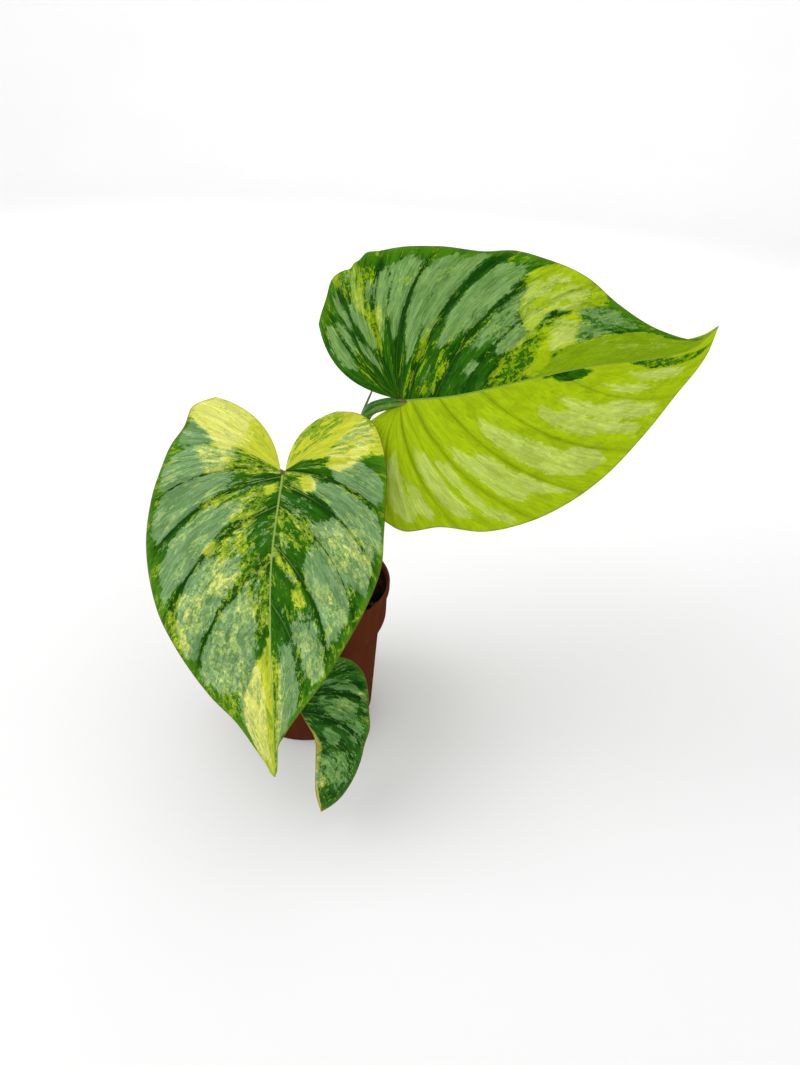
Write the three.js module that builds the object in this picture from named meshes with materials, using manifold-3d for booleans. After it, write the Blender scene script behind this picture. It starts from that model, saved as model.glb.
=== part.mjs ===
// A variegated aroid in a nursery pot: three heart-shaped leaves, their stalks, a dried sheath, the creeping
// stem that they grow from, the soil and the pot.
// Millimetres, +Z up. The origin is on the pot's axis, in the plane of its flat underside.
import * as THREE from 'three';
import { mergeVertices } from 'three/addons/utils/BufferGeometryUtils.js';
import Module from 'manifold-3d';

const wasm = await Module();
wasm.setup();

// Driving dimensions
const GAP = 0.3;

const POT = {
  height: 115,
  lipRadius: 60,
  lipHeight: 7,
  lipWidth: 1.9,
  collarRadius: 58.4,
  stepTop: 85.5,
  stepBottom: 72.5,
  wallTopRadius: 53.4,
  baseRadius: 51,
  wall: 1.2,
  floor: 1.8,
  sides: 60,
  drainHoles: 8,
  drainRadius: 4,
  drainCircle: 38,
};

const SOIL = { top: 94, crumb: 1.6, dip: 3, rings: 9 };

const STEM = {
  path: [[-6, -36, 90], [-3, -20, 95], [2, -3, 97], [7, 14, 98], [9, 24, 101]],
  radius: 7.4,
  ringHeight: 0.9,
  rings: 9,
  sides: 12,
  steps: 36,
};

const AERIAL_ROOTS = { count: 6, radius: 1.7, length: 26, sides: 6, steps: 6 };

// Stalks: the path starts on the stem's axis and ends at the leaf, and the section's hollow faces one way
const STALK_SECTION = {
  roundPoints: 9,
  wingAngle: 0.35,
  wing: 1.12,
  hollow: [[-0.5, 0.22], [0, 0.16], [0.5, 0.22]],
};
const STALKS = {
  petiole_a: {
    path: [[0, -8, 97], [-3, -4, 116], [-10, 5, 150], [-13, -2, 183], [-10.5, -26, 207]],
    radii: [5.2, 3.9, 2.8],
    facing: [0.2, -0.2, 1],
    steps: 22,
  },
  petiole_b: {
    path: [
      [4, 5, 98], [8, 7, 118], [19, 9, 165], [28.5, 6, 208], [35, -3, 237], [41.5, -10.5, 251.5],
    ],
    radii: [5.6, 4.3, 3.1],
    facing: [-0.55, -0.35, 0.75],
    steps: 26,
  },
  petiole_c: {
    path: [[-3, -21, 95], [-2, -26, 112], [0, -42, 128], [1.5, -60, 129], [2, -77, 115]],
    radii: [3.4, 2.6, 1.7],
    facing: [0.1, -0.6, 0.9],
    steps: 20,
  },
};

const SHEATH = {
  path: [[8.5, 18, 99], [13, 21, 130], [24, 16, 190], [34, 7, 240], [42.4, 4, 265]],
  widths: [6.5, 4.2, 1.1],
  thickness: 1.1,
  facing: [0.5, 0.8, -0.1],
  steps: 22,
};

// Leaves. An outline's points are [across, along]: across is the distance from the centre line, along runs
// from the stalk to the tip. They start at the top of the lobe beside the sinus and end at the tip.
const BLADE = { thickness: 0.9, ridgeDepth: 3.2, tipRidgeDepth: 1.2, veins: 11, pleat: 1.6 };

const LEAVES = {
  leaf_a: {
    junction: [-8.7, -50, 225.6],
    tip: [1.8, -158.7, 80.1],
    normal: [0.03, -0.8, 0.6],
    length: 181.5,
    arch: 8,
    tipLift: 0,
    width: 75,
    midrib: [[0, 0], [-4.7, 55], [-4, 100], [-2, 136], [0, 181.5]],
    notch: 2.2,
    basalShare: 8 / 22,
    crowding: 2.2,
    columns: 22,
    rows: 7,
    halves: {
      '-1': {
        outline: [
          [44.6, -49], [58, -42.2], [62, -28.7], [69, -16.3], [73.7, 1], [77.4, 19.3], [79, 44], [76, 65.5],
          [69.2, 86.6], [61, 102], [50.2, 118.8], [37.3, 135], [23.8, 149.5], [11.6, 165.2], [0, 181.5],
        ],
        fold: -7,
        fall: 13,
        lobeDrop: 6,
        sinusBow: 0.15,
        wave: { height: 2.2, count: 3.5, phase: 0.4 },
      },
      '1': {
        outline: [
          [32, -38], [44, -37.5], [53.7, -32], [59.4, -19.2], [62.8, -0.4], [62.3, 17.2], [61, 38.5],
          [59.5, 58.4], [51.3, 82.3], [38.2, 108], [26.9, 126.6], [15.3, 143], [6.2, 156.6], [1.2, 166.5],
          [0, 181.5],
        ],
        fold: -7,
        fall: 12,
        lobeDrop: -4,
        sinusBow: 0.16,
        wave: { height: 2, count: 3, phase: 1.9 },
      },
    },
  },
  leaf_b: {
    junction: [59.1, -10, 259.9],
    tip: [251.7, 23.1, 302.2],
    normal: [0, -0.788, 0.616],
    length: 205,
    arch: 8,
    tipLift: 9,
    width: 85,
    midrib: [[0, 0], [-5, 37], [-4, 113], [-6, 184], [5.5, 205]],
    notch: 3.6,
    basalShare: 10 / 22,
    crowding: 2.4,
    columns: 22,
    rows: 7,
    halves: {
      '-1': {
        outline: [
          [21.6, -43.5], [35, -45.5], [47.3, -43], [59, -36.8], [69.2, -26.5], [79, -14.5], [81, 8.6],
          [90, 35], [90.3, 59.7], [84, 86.5], [72, 114.2], [52.7, 143], [33, 167.6], [13, 191.8],
          [-5.5, 205],
        ],
        fold: -6,
        fall: 16,
        lobeDrop: 8,
        sinusBow: 0.06,
        wave: { height: 2.4, count: 4, phase: 0.2 },
      },
      '1': {
        outline: [
          [64.3, -40.8], [74.2, -36], [87.5, -27.3], [95, -14], [101, -1.6], [102, 21.3], [94.6, 44],
          [84.5, 69.7], [81, 92.2], [68.4, 111], [51, 132.5], [31.4, 148], [10.4, 168.6], [-0.7, 191.5],
          [5.5, 205],
        ],
        fold: -6,
        fall: 13,
        lobeDrop: 8,
        sinusBow: 0.16,
        wave: { height: 2.6, count: 4.5, phase: 1.2 },
      },
    },
  },
  leaf_c: {
    junction: [5.5, -95, 85],
    tip: [26.3, -133.8, 23],
    normal: [0.14, -0.82, 0.56],
    length: 76,
    arch: 6,
    tipLift: 0,
    width: 38,
    midrib: [[0, 0], [0.2, 11], [5.4, 28.5], [2.8, 43.6], [-0.8, 61], [0, 76]],
    notch: 3.2,
    basalShare: 6 / 16,
    crowding: 1.8,
    columns: 16,
    rows: 5,
    halves: {
      '-1': {
        outline: [
          [16, -15], [22, -12], [27, -4], [30, 7], [30.5, 20], [28, 32], [24, 43], [18, 53], [12, 62],
          [5, 70], [0, 76],
        ],
        fold: 97,
        fall: 3,
        lobeDrop: 5,
        sinusBow: 0.02,
        wave: { height: 1, count: 2.5, phase: 0.6 },
      },
      '1': {
        outline: [
          [25.6, -20], [33.5, -17.4], [41, -13], [47, -4], [47.4, 8], [45, 20.2], [42.8, 32], [37, 41],
          [31.4, 51.4], [23.7, 62], [14.5, 70.5], [7, 74], [0, 76],
        ],
        fold: 4,
        fall: 6,
        lobeDrop: 5,
        sinusBow: 0.05,
        wave: { height: 1.2, count: 3, phase: 1.4 },
      },
    },
  },
};

// Finishes
const FINISHES = {
  pot: { color: 0x4a2218, roughness: 0.45, metalness: 0 },
  soil: { color: 0x2a1c14, roughness: 0.95, metalness: 0 },
  stem: { color: 0x5b5a35, roughness: 0.7, metalness: 0 },
  stalk: { color: 0x2f5a2a, roughness: 0.5, metalness: 0 },
  sheath: { color: 0x7a6a45, roughness: 0.8, metalness: 0 },
  leaf_a: { color: 0x7d9a63, roughness: 0.42, metalness: 0 },
  leaf_b: { color: 0x9db562, roughness: 0.42, metalness: 0 },
  leaf_c: { color: 0x27402a, roughness: 0.42, metalness: 0 },
};

const vector = (point) => new THREE.Vector3(...point);
const smoothPath = (points) => new THREE.CatmullRomCurve3(points.map(vector));
const outlineCurve = (points) => smoothPath(points.map(([across, along]) => [across, along, 0]));

function closedGeometry(positions, triangles) {
  const geometry = new THREE.BufferGeometry();
  geometry.setAttribute('position', new THREE.Float32BufferAttribute(positions, 3));
  geometry.setIndex(triangles);
  return withoutSlivers(geometry);
}

// Joins the vertices that share a place, and leaves out the triangles that this makes into lines
function withoutSlivers(geometry) {
  geometry.deleteAttribute('normal');
  geometry.deleteAttribute('uv');
  const merged = mergeVertices(geometry, 1e-4);
  const kept = [];
  for (let i = 0; i < merged.index.count; i += 3) {
    const [a, b, c] = [0, 1, 2].map((k) => merged.index.getX(i + k));
    if (a !== b && b !== c && c !== a) kept.push(a, b, c);
  }
  merged.setIndex(kept);
  return merged;
}

function toSolid(geometry) {
  const mesh = new wasm.Mesh({
    numProp: 3,
    vertProperties: new Float32Array(geometry.attributes.position.array),
    triVerts: new Uint32Array(geometry.index.array),
  });
  return new wasm.Manifold(mesh);
}

// The biggest body of a cut solid: what a cut leaves loose is dropped
function biggest(solid) {
  return solid.decompose().sort((a, b) => b.volume() - a.volume())[0];
}

function fromSolid(solid) {
  const mesh = solid.getMesh();
  const geometry = new THREE.BufferGeometry();
  geometry.setAttribute('position', new THREE.Float32BufferAttribute(mesh.vertProperties, 3));
  geometry.setIndex([...mesh.triVerts]);
  return geometry;
}

function piece(name, geometry, finish) {
  geometry.computeVertexNormals();
  const mesh = new THREE.Mesh(geometry, new THREE.MeshStandardMaterial(FINISHES[finish]));
  mesh.name = name;
  return mesh;
}

// Turned shapes

function turned(profile, sides) {
  const geometry = new THREE.LatheGeometry(profile.map(([r, z]) => new THREE.Vector2(r, z)), sides);
  geometry.rotateX(Math.PI / 2);
  return withoutSlivers(geometry);
}

// The pot's outer radius at a height below the lip
function outerRadius(z) {
  const { baseRadius, wallTopRadius, stepBottom, stepTop, collarRadius } = POT;
  const onStep = (z - stepBottom) / (stepTop - stepBottom);
  if (z < stepBottom) return THREE.MathUtils.lerp(baseRadius, wallTopRadius, z / stepBottom);
  if (z < stepTop) return THREE.MathUtils.lerp(wallTopRadius, collarRadius, onStep);
  return collarRadius;
}

const innerRadius = (z) => outerRadius(z) - POT.wall;

function potGeometry() {
  const { height, lipRadius, lipHeight, lipWidth, collarRadius, stepTop, stepBottom, floor } = POT;
  const lipFoot = height - lipHeight;
  const profile = [
    [0, 0],
    [outerRadius(0) - 0.8, 0],
    [outerRadius(0.8), 0.8],
    [outerRadius(stepBottom - 0.01), stepBottom],
    [outerRadius(stepTop), stepTop],
    [collarRadius, lipFoot],
    [lipRadius, lipFoot + 0.8],
    [lipRadius, height - 0.7],
    [lipRadius - 0.6, height],
    [lipRadius - lipWidth + 0.4, height],
    [lipRadius - lipWidth, height - 0.5],
    [innerRadius(height), lipFoot],
    [innerRadius(stepTop), stepTop + 0.6],
    [innerRadius(stepBottom - 0.01), stepBottom + 0.6],
    [innerRadius(floor), floor],
    [0, floor],
  ];
  let pot = toSolid(turned(profile, POT.sides));
  for (let i = 0; i < POT.drainHoles; i += 1) {
    const angle = (2 * Math.PI * (i + 0.5)) / POT.drainHoles;
    const drill = new THREE.CylinderGeometry(POT.drainRadius, POT.drainRadius, 3 * floor, 14);
    drill.rotateX(Math.PI / 2);
    drill.translate(POT.drainCircle * Math.cos(angle), POT.drainCircle * Math.sin(angle), floor / 2);
    pot = pot.subtract(toSolid(withoutSlivers(drill)));
  }
  return fromSolid(pot);
}

// Crumbs of the soil's top: a sum of waves that fades at the middle of the pot and at its wall
function crumb(x, y) {
  const waves = Math.sin(0.31 * x + 0.4) * Math.sin(0.27 * y - 0.9)
    + 0.6 * Math.sin(0.62 * x - 0.35 * y + 1.3)
    + 0.5 * Math.sin(0.44 * y + 0.58 * x - 2.1);
  return SOIL.crumb * waves;
}

function soilGeometry(holes) {
  const { top, dip, rings } = SOIL;
  const floor = POT.floor + GAP;
  const clear = (z) => innerRadius(z) - GAP;
  const edge = top - dip;
  const profile = [
    [0, floor],
    [clear(floor), floor],
    [clear(POT.stepBottom), POT.stepBottom + 1],
    [clear(POT.stepTop), POT.stepTop + 1],
    [clear(edge), edge],
  ];
  for (let ring = 1; ring <= rings; ring += 1) {
    const share = ring / rings;
    profile.push([clear(edge) * (1 - share), edge + dip * Math.sin((Math.PI / 2) * Math.min(1, 2 * share))]);
  }
  const geometry = turned(profile, POT.sides);
  const place = geometry.attributes.position;
  for (let i = 0; i < place.count; i += 1) {
    const [x, y, z] = [place.getX(i), place.getY(i), place.getZ(i)];
    if (z > edge + 0.1) place.setZ(i, z + crumb(x, y));
  }
  return fromSolid(biggest(toSolid(geometry).subtract(holes)));
}

// Lofted shapes: a section is carried along a path, its first axis towards the facing direction

function loft(path, facing, steps, sectionAt) {
  const positions = [];
  const triangles = [];
  const side = new THREE.Vector3();
  const front = new THREE.Vector3();
  let count = 0;
  for (let step = 0; step <= steps; step += 1) {
    const share = step / steps;
    const centre = path.getPoint(share);
    const tangent = path.getTangent(share);
    front.copy(facing).addScaledVector(tangent, -facing.dot(tangent)).normalize();
    side.crossVectors(tangent, front);
    const section = sectionAt(share);
    count = section.length;
    for (const [across, up] of section) {
      const place = centre.clone().addScaledVector(side, across).addScaledVector(front, up);
      positions.push(place.x, place.y, place.z);
    }
  }
  for (let step = 0; step < steps; step += 1) {
    for (let i = 0; i < count; i += 1) {
      const [a, b] = [step * count + i, step * count + ((i + 1) % count)];
      triangles.push(a, b, a + count, b, b + count, a + count);
    }
  }
  for (let i = 1; i < count - 1; i += 1) {
    const last = steps * count;
    triangles.push(0, i + 1, i, last, last + i, last + i + 1);
  }
  return closedGeometry(positions, triangles);
}

// Three values along a path, at its start, middle and end
function along([start, middle, end], share) {
  return share < 0.5
    ? THREE.MathUtils.lerp(start, middle, 2 * share)
    : THREE.MathUtils.lerp(middle, end, 2 * share - 1);
}

// A round section; its points run the same way round as those of every section here
function roundSection(radius, sides) {
  return Array.from({ length: sides }, (_, i) => {
    const angle = (-2 * Math.PI * i) / sides;
    return [radius * Math.cos(angle), radius * Math.sin(angle)];
  });
}

// A stalk's section: round below, hollowed above, with a low wing along each edge of the hollow
function stalkSection(radius) {
  const { roundPoints, wingAngle, wing, hollow } = STALK_SECTION;
  const round = Array.from({ length: roundPoints }, (_, i) => {
    const angle = wingAngle - ((Math.PI + 2 * wingAngle) * i) / (roundPoints - 1);
    const reach = radius * (i === 0 || i === roundPoints - 1 ? wing : 1);
    return [reach * Math.cos(angle), reach * Math.sin(angle)];
  });
  return [...round, ...hollow.map(([across, up]) => [across * radius, up * radius])];
}

function stemRadius(share, extra) {
  const end = Math.sqrt(Math.max(0.04, 1 - Math.abs(2 * share - 1) ** 8));
  const ring = STEM.ringHeight * Math.abs(Math.sin(Math.PI * STEM.rings * share)) ** 6;
  return STEM.radius * end + ring + extra;
}

// The creeping stem with its leaf scars and the stubs of its roots, made larger by a clearance
function stemSolid(extra) {
  const path = smoothPath(STEM.path);
  const up = new THREE.Vector3(0, 0, 1);
  const section = (share) => roundSection(stemRadius(share, extra), STEM.sides);
  let stem = toSolid(loft(path, up, STEM.steps, section));
  for (let i = 0; i < AERIAL_ROOTS.count; i += 1) {
    const start = path.getPoint((i + 0.8) / (AERIAL_ROOTS.count + 0.6));
    const side = i % 2 === 0 ? 1 : -1;
    const reach = AERIAL_ROOTS.length * (0.8 + 0.2 * Math.sin(2.4 * i));
    const root = smoothPath([
      [start.x, start.y, start.z - 1],
      [start.x + side * 0.55 * reach, start.y + 2, start.z - 3],
      [start.x + side * 0.85 * reach, start.y + 3, start.z - 0.55 * reach],
    ]);
    const { radius, sides, steps } = AERIAL_ROOTS;
    const taper = (share) => roundSection(radius * (1 - 0.45 * share) + extra, sides);
    stem = stem.add(toSolid(loft(root, up, steps, taper)));
  }
  return stem;
}

// Leaves

const halfDirections = (leaf, side) => {
  const normal = vector(leaf.normal).normalize();
  const forward = vector(leaf.tip).sub(vector(leaf.junction));
  forward.addScaledVector(normal, -forward.dot(normal)).normalize();
  const across = new THREE.Vector3().crossVectors(normal, forward);
  const fold = THREE.MathUtils.degToRad(leaf.halves[side].fold);
  return {
    normal,
    forward,
    across,
    outward: across.clone().multiplyScalar(side * Math.cos(fold)).addScaledVector(normal, -Math.sin(fold)),
    up: normal.clone().multiplyScalar(Math.cos(fold)).addScaledVector(across, side * Math.sin(fold)),
  };
};

// The midrib's sideways place at a distance along the leaf, a smooth line through its stations
function midribAcross(stations, distance) {
  if (distance <= 0) return stations[0][0];
  const last = stations.length - 1;
  let i = 0;
  while (i < last - 1 && distance > stations[i + 1][1]) i += 1;
  const slope = (k) => {
    const [before, after] = [stations[Math.max(k - 1, 0)], stations[Math.min(k + 1, last)]];
    return (after[0] - before[0]) / (after[1] - before[1]);
  };
  const [[x0, y0], [x1, y1]] = [stations[i], stations[i + 1]];
  const span = y1 - y0;
  const t = Math.min((distance - y0) / span, 1);
  const bend = t * t * (3 - 2 * t);
  return x0 + (x1 - x0) * bend + span * (slope(i) * t * (1 - t) ** 2 - slope(i + 1) * t * t * (1 - t));
}

// The midrib's height above the leaf's plane: an arch, lobes that drop back and a tip that lifts
function midribHeight(leaf, half, distance) {
  const share = distance / leaf.length;
  const tip = Math.max(0, (share - 0.75) / 0.25) ** 2;
  if (share > 0) return 4 * leaf.arch * share * (1 - share) + leaf.tipLift * tip;
  return 4 * leaf.arch * share - half.lobeDrop * (distance / 45) ** 2;
}

// The flat place of a point of one half: w runs over the side veins from the sinus to the tip, and
// s runs along a vein from the midrib to the margin
function flatPlace(leaf, side, margin, w, s) {
  const edge = margin.getPoint(w);
  const foot = new THREE.Vector2();
  if (w < leaf.basalShare - 1e-6) {
    foot.set(leaf.notch, -leaf.notch * (1 - w / leaf.basalShare));
  } else {
    const reach = leaf.length * ((w - leaf.basalShare) / (1 - leaf.basalShare)) ** leaf.crowding;
    foot.set(side * midribAcross(leaf.midrib, reach), reach);
  }
  const chord = new THREE.Vector2(edge.x - foot.x, edge.y - foot.y);
  const lateral = 0.11 * THREE.MathUtils.smoothstep(w, 0, 0.35);
  const sinus = leaf.halves[side].sinusBow * Math.max(0, 1 - w / 0.15) ** 2;
  const bow = 4 * (lateral + sinus) * s * (1 - s);
  return new THREE.Vector2(foot.x + chord.x * s + chord.y * bow, foot.y + chord.y * s - chord.x * bow);
}

// The height of the pleats between the veins and of the waves of the margin
function relief(half, w, s) {
  const { height, count, phase } = half.wave;
  const span = Math.sin(Math.PI * Math.min(1, s + 0.08));
  const pleat = BLADE.pleat * span * Math.sin(Math.PI * BLADE.veins * w) ** 2;
  const fade = Math.sin(Math.PI * Math.min(1, 0.06 + w)) ** 0.5;
  return fade * (pleat + height * s ** 3 * Math.sin(2 * Math.PI * count * w + phase));
}

// The upper and the lower point of one half of a leaf at each of its columns and rows
function halfPlaces(leaf, side, notchColumns) {
  const half = leaf.halves[side];
  const margin = outlineCurve(half.outline);
  const { normal, forward, across, outward, up } = halfDirections(leaf, side);
  const ridgeUp = up.clone().add(halfDirections(leaf, -side).up).normalize();
  const places = [];
  for (let c = 0; c <= leaf.columns; c += 1) {
    for (let r = 0; r <= leaf.rows; r += 1) {
      const [w, s] = [c / leaf.columns, (r / leaf.rows) ** 1.3];
      const flat = flatPlace(leaf, side, margin, w, s);
      const middle = midribAcross(leaf.midrib, flat.y);
      const distance = Math.max(flat.x - side * middle, 0);
      const onMidrib = (r === 0 && c >= notchColumns) || c === leaf.columns;
      const height = onMidrib ? 0 : relief(half, w, s) - half.fall * (distance / leaf.width) ** 2;
      const share = Math.max(0, flat.y / leaf.length);
      const ridge = THREE.MathUtils.lerp(BLADE.ridgeDepth, BLADE.tipRidgeDepth, share);
      const place = vector(leaf.junction)
        .addScaledVector(forward, flat.y)
        .addScaledVector(across, middle)
        .addScaledVector(normal, midribHeight(leaf, half, flat.y))
        .addScaledVector(outward, distance)
        .addScaledVector(up, height);
      const under = onMidrib
        ? place.clone().addScaledVector(ridgeUp, -ridge)
        : place.clone().addScaledVector(up, -BLADE.thickness);
      places.push(place.x, place.y, place.z, under.x, under.y, under.z);
    }
  }
  return places;
}

// The triangles of one half: its upper and lower face, its margin, the wall of the notch and its first edge
function halfTriangles(leaf, side, notchColumns, start) {
  const { columns, rows } = leaf;
  const triangles = [];
  const top = (c, r) => start + 2 * (c * (rows + 1) + r);
  const bottom = (c, r) => top(c, r) + 1;
  const face = (a, b, c) => triangles.push(...(side > 0 ? [a, b, c] : [a, c, b]));
  const quad = (a, b, c, d) => {
    face(a, b, c);
    face(a, c, d);
  };
  for (let c = 0; c < columns; c += 1) {
    for (let r = 0; r < rows; r += 1) {
      quad(top(c, r), top(c + 1, r), top(c + 1, r + 1), top(c, r + 1));
      face(bottom(c, r), bottom(c + 1, r + 1), bottom(c + 1, r));
      face(bottom(c, r), bottom(c, r + 1), bottom(c + 1, r + 1));
    }
    quad(top(c, rows), top(c + 1, rows), bottom(c + 1, rows), bottom(c, rows));
    if (c < notchColumns) quad(top(c + 1, 0), top(c, 0), bottom(c, 0), bottom(c + 1, 0));
  }
  for (let r = 0; r < rows; r += 1) {
    quad(top(0, r), top(0, r + 1), bottom(0, r + 1), bottom(0, r));
  }
  return triangles;
}

function leafGeometry(leaf) {
  const notchColumns = Math.round(leaf.basalShare * leaf.columns);
  const positions = [];
  const triangles = [];
  for (const side of [-1, 1]) {
    triangles.push(...halfTriangles(leaf, side, notchColumns, positions.length / 3));
    positions.push(...halfPlaces(leaf, side, notchColumns));
  }
  return closedGeometry(positions, triangles);
}

// A stalk's last points: in line with a leaf that it enters through the notch, or square to its underside
function stalkEnd(leaf, inLine) {
  const { normal, forward } = halfDirections(leaf, 1);
  const from = (start, direction, reach) => start.clone().addScaledVector(direction, reach);
  const junction = vector(leaf.junction);
  if (inLine) return [from(junction, forward, -8), from(junction, forward, -GAP - 0.1)];
  const seat = from(from(junction, normal, -BLADE.ridgeDepth - GAP), forward, 2);
  return [from(seat, normal, -9), seat];
}

function stalkGeometry(stalk, end, clearStem) {
  const path = smoothPath([...stalk.path, ...end.map((point) => point.toArray())]);
  const section = (share) => stalkSection(along(stalk.radii, share));
  const whole = toSolid(loft(path, vector(stalk.facing), stalk.steps, section));
  return fromSolid(biggest(whole.subtract(clearStem)));
}

function sheathGeometry(clearStem) {
  const section = (share) => {
    const [half, deep] = [along(SHEATH.widths, share) / 2, SHEATH.thickness / 2];
    const right = [[half * 0.5, deep], [half, 0.4], [half * 0.6, -deep]];
    const left = right.map(([across, up]) => [-across, up]).reverse();
    return [...right, ...left];
  };
  const whole = toSolid(loft(smoothPath(SHEATH.path), vector(SHEATH.facing), SHEATH.steps, section));
  return fromSolid(biggest(whole.subtract(clearStem)));
}

const group = new THREE.Group();
group.name = 'potted_plant';
const clearStem = stemSolid(GAP);
const { leaf_a, leaf_b, leaf_c } = LEAVES;
group.add(
  piece('pot', potGeometry(), 'pot'),
  piece('soil', soilGeometry(clearStem), 'soil'),
  piece('rhizome', fromSolid(stemSolid(0)), 'stem'),
  piece('petiole_a', stalkGeometry(STALKS.petiole_a, stalkEnd(leaf_a, false), clearStem), 'stalk'),
  piece('petiole_b', stalkGeometry(STALKS.petiole_b, stalkEnd(leaf_b, true), clearStem), 'stalk'),
  piece('petiole_c', stalkGeometry(STALKS.petiole_c, stalkEnd(leaf_c, true), clearStem), 'stalk'),
  piece('sheath', sheathGeometry(clearStem), 'sheath'),
);
for (const [name, leaf] of Object.entries(LEAVES)) {
  group.add(piece(name, leafGeometry(leaf), name));
}

export default group;
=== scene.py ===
"""A potted variegated philodendron: three marbled heart-shaped blades, their stalks, a dried sheath, the
creeping stem, the soil and the nursery pot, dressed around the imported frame."""

import logging
import math
from dataclasses import dataclass, field
from enum import Enum
from typing import Sequence

import bmesh
import bpy
import numpy as np
from mathutils import Matrix, Vector, noise


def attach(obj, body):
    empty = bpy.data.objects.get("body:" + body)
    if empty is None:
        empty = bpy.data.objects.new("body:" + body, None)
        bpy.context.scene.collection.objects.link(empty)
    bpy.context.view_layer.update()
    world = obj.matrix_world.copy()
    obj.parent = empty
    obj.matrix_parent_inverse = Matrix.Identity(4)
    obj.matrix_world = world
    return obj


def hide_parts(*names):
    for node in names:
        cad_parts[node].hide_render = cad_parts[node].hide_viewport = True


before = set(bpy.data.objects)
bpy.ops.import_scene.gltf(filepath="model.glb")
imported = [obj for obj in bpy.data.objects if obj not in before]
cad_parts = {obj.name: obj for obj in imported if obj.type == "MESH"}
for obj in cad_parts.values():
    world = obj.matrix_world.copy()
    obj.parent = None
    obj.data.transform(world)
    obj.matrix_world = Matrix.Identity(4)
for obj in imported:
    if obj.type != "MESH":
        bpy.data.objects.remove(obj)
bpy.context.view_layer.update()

MM = 0.001
BODY = "root"
# level painted evenly on leaf B's fold: lime tissue, kept darker than the yellow beside it as painted shade
# where the fold turns from the light
SHADED_FOLD_LIME = 0.56
LIME_RAMP = (0.32, 0.37)
YELLOW_RAMP = (0.65, 0.70)
DEEP_RAMP = (0.55, 1.5)
FRESH_RAMP = (1.5, 0.35)
GOLDEN_RAMP = (0.3, 0.75)
DENSE_RAMP = (0.3, 0.62)
UNEVEN_RAMP = (0.01, 0.035)
DRY_RAMP = (0.72, 0.95)
FULL_COVER = 0.96
SEED_STEP = 17.3
PATCH_SIZES = ((1.0, 0.42), (2.6, 0.30), (6.0, 0.17), (15.0, 0.11))
VEIN_SHADE = (215, 222, 208)
UP = (0.0, 0.0, 1.0)

Colour = tuple[int, int, int]
Point = tuple[float, float, float]
Array = np.ndarray
Mesh = bpy.types.Mesh
Object = bpy.types.Object
Material = bpy.types.Material
Tree = bpy.types.NodeTree
Node = bpy.types.Node
Socket = bpy.types.NodeSocket

LOG = logging.getLogger("plant")


class Side(Enum):
    """The two halves of a blade, by the sign of their across direction."""

    LEFT = -1
    RIGHT = 1


# Plain geometry


def unit(vectors: Sequence[float] | Array) -> Array:
    """Returns a vector, or each row of vectors, at length one."""
    given = np.asarray(vectors, float)
    return given / np.linalg.norm(given, axis=-1, keepdims=True)


def bell(value: Array, width: float | Array) -> Array:
    """Returns 1 at zero and nearly 0 from twice the width on, to both sides."""
    return np.exp(-((value / width) ** 2))


def smoothstep(value: Array, low: float, high: float) -> Array:
    """Returns 0 below low, 1 above high and a smooth ramp between them."""
    share = np.clip((value - low) / (high - low), 0, 1)
    return share * share * (3 - 2 * share)


def table(text: str) -> Array:
    """Reads rows of numbers, with commas within a row and blanks between rows."""
    return np.array([row.split(",") for row in text.split()], float)


def runs_along(points: Array) -> Array:
    """Returns how far along a line each of its points lies."""
    return np.concatenate([[0], np.cumsum(np.linalg.norm(np.diff(points, axis=0), axis=1))])


def turns(count: int) -> Array:
    """Returns the angles of a number of places round the axis."""
    return np.linspace(0, 2 * np.pi, count, endpoint=False)


def curve_points(points: Sequence[Sequence[float]] | Array, shares: Array) -> Array:
    """Finds points on the centripetal curve through the given points.

    Args:
        points: The points that the curve passes, of two or three numbers each.
        shares: Where on the curve, from 0 to 1, with the same share for each span.

    Returns:
        One row for each share.
    """
    knots = np.asarray(points, float)
    knots = np.vstack([2 * knots[0] - knots[1], knots, 2 * knots[-1] - knots[-2]])
    spans = len(knots) - 3
    place = np.clip(shares, 0, 1) * spans
    first = np.minimum(place.astype(int), spans - 1)
    t = (place - first)[:, None]
    a, b, c, d = (knots[first + k] for k in range(4))
    ab, bc, cd = (np.sqrt(np.linalg.norm(q - p, axis=1))[:, None] for p, q in ((a, b), (b, c), (c, d)))
    leave = ((b - a) / ab - (c - a) / (ab + bc) + (c - b) / bc) * bc
    reach = ((c - b) / bc - (d - b) / (bc + cd) + (d - c) / cd) * bc
    return (
        (2 * t**3 - 3 * t**2 + 1) * b
        + (t**3 - 2 * t**2 + t) * leave
        + (3 * t**2 - 2 * t**3) * c
        + (t**3 - t**2) * reach
    )


def outline_distance(x: Array, y: Array, outline: Array) -> Array:
    """Measures how far points lie inside a closed outline.

    Args:
        x: First coordinates of the points.
        y: Second coordinates of the points.
        outline: The corners of the outline, one row each.

    Returns:
        The distance to the outline, above 0 inside it and below 0 outside.
    """
    nearest = np.full(x.shape, np.inf)
    inside = np.zeros(x.shape, bool)
    for (x0, y0), (x1, y1) in zip(outline, np.roll(outline, -1, axis=0)):
        dx, dy = x1 - x0, y1 - y0
        t = np.clip(((x - x0) * dx + (y - y0) * dy) / (dx * dx + dy * dy), 0, 1)
        nearest = np.minimum(nearest, np.hypot(x - x0 - t * dx, y - y0 - t * dy))
        if dy:
            inside ^= ((y0 > y) != (y1 > y)) & (x < x0 + dx * (y - y0) / dy)
    return np.where(inside, nearest, -nearest)


# Pieces


def link(obj: Object) -> Object:
    """Puts an object in the scene's collection."""
    bpy.context.scene.collection.objects.link(obj)
    return obj


def new_piece(name: str, mesh: Mesh, *materials: Material) -> Object:
    """Makes a linked object of a mesh.

    Args:
        name: The object's name.
        mesh: Its mesh.
        materials: The mesh's materials.

    Returns:
        The object.
    """
    for material in materials:
        mesh.materials.append(material)
    return link(bpy.data.objects.new(name, mesh))


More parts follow.
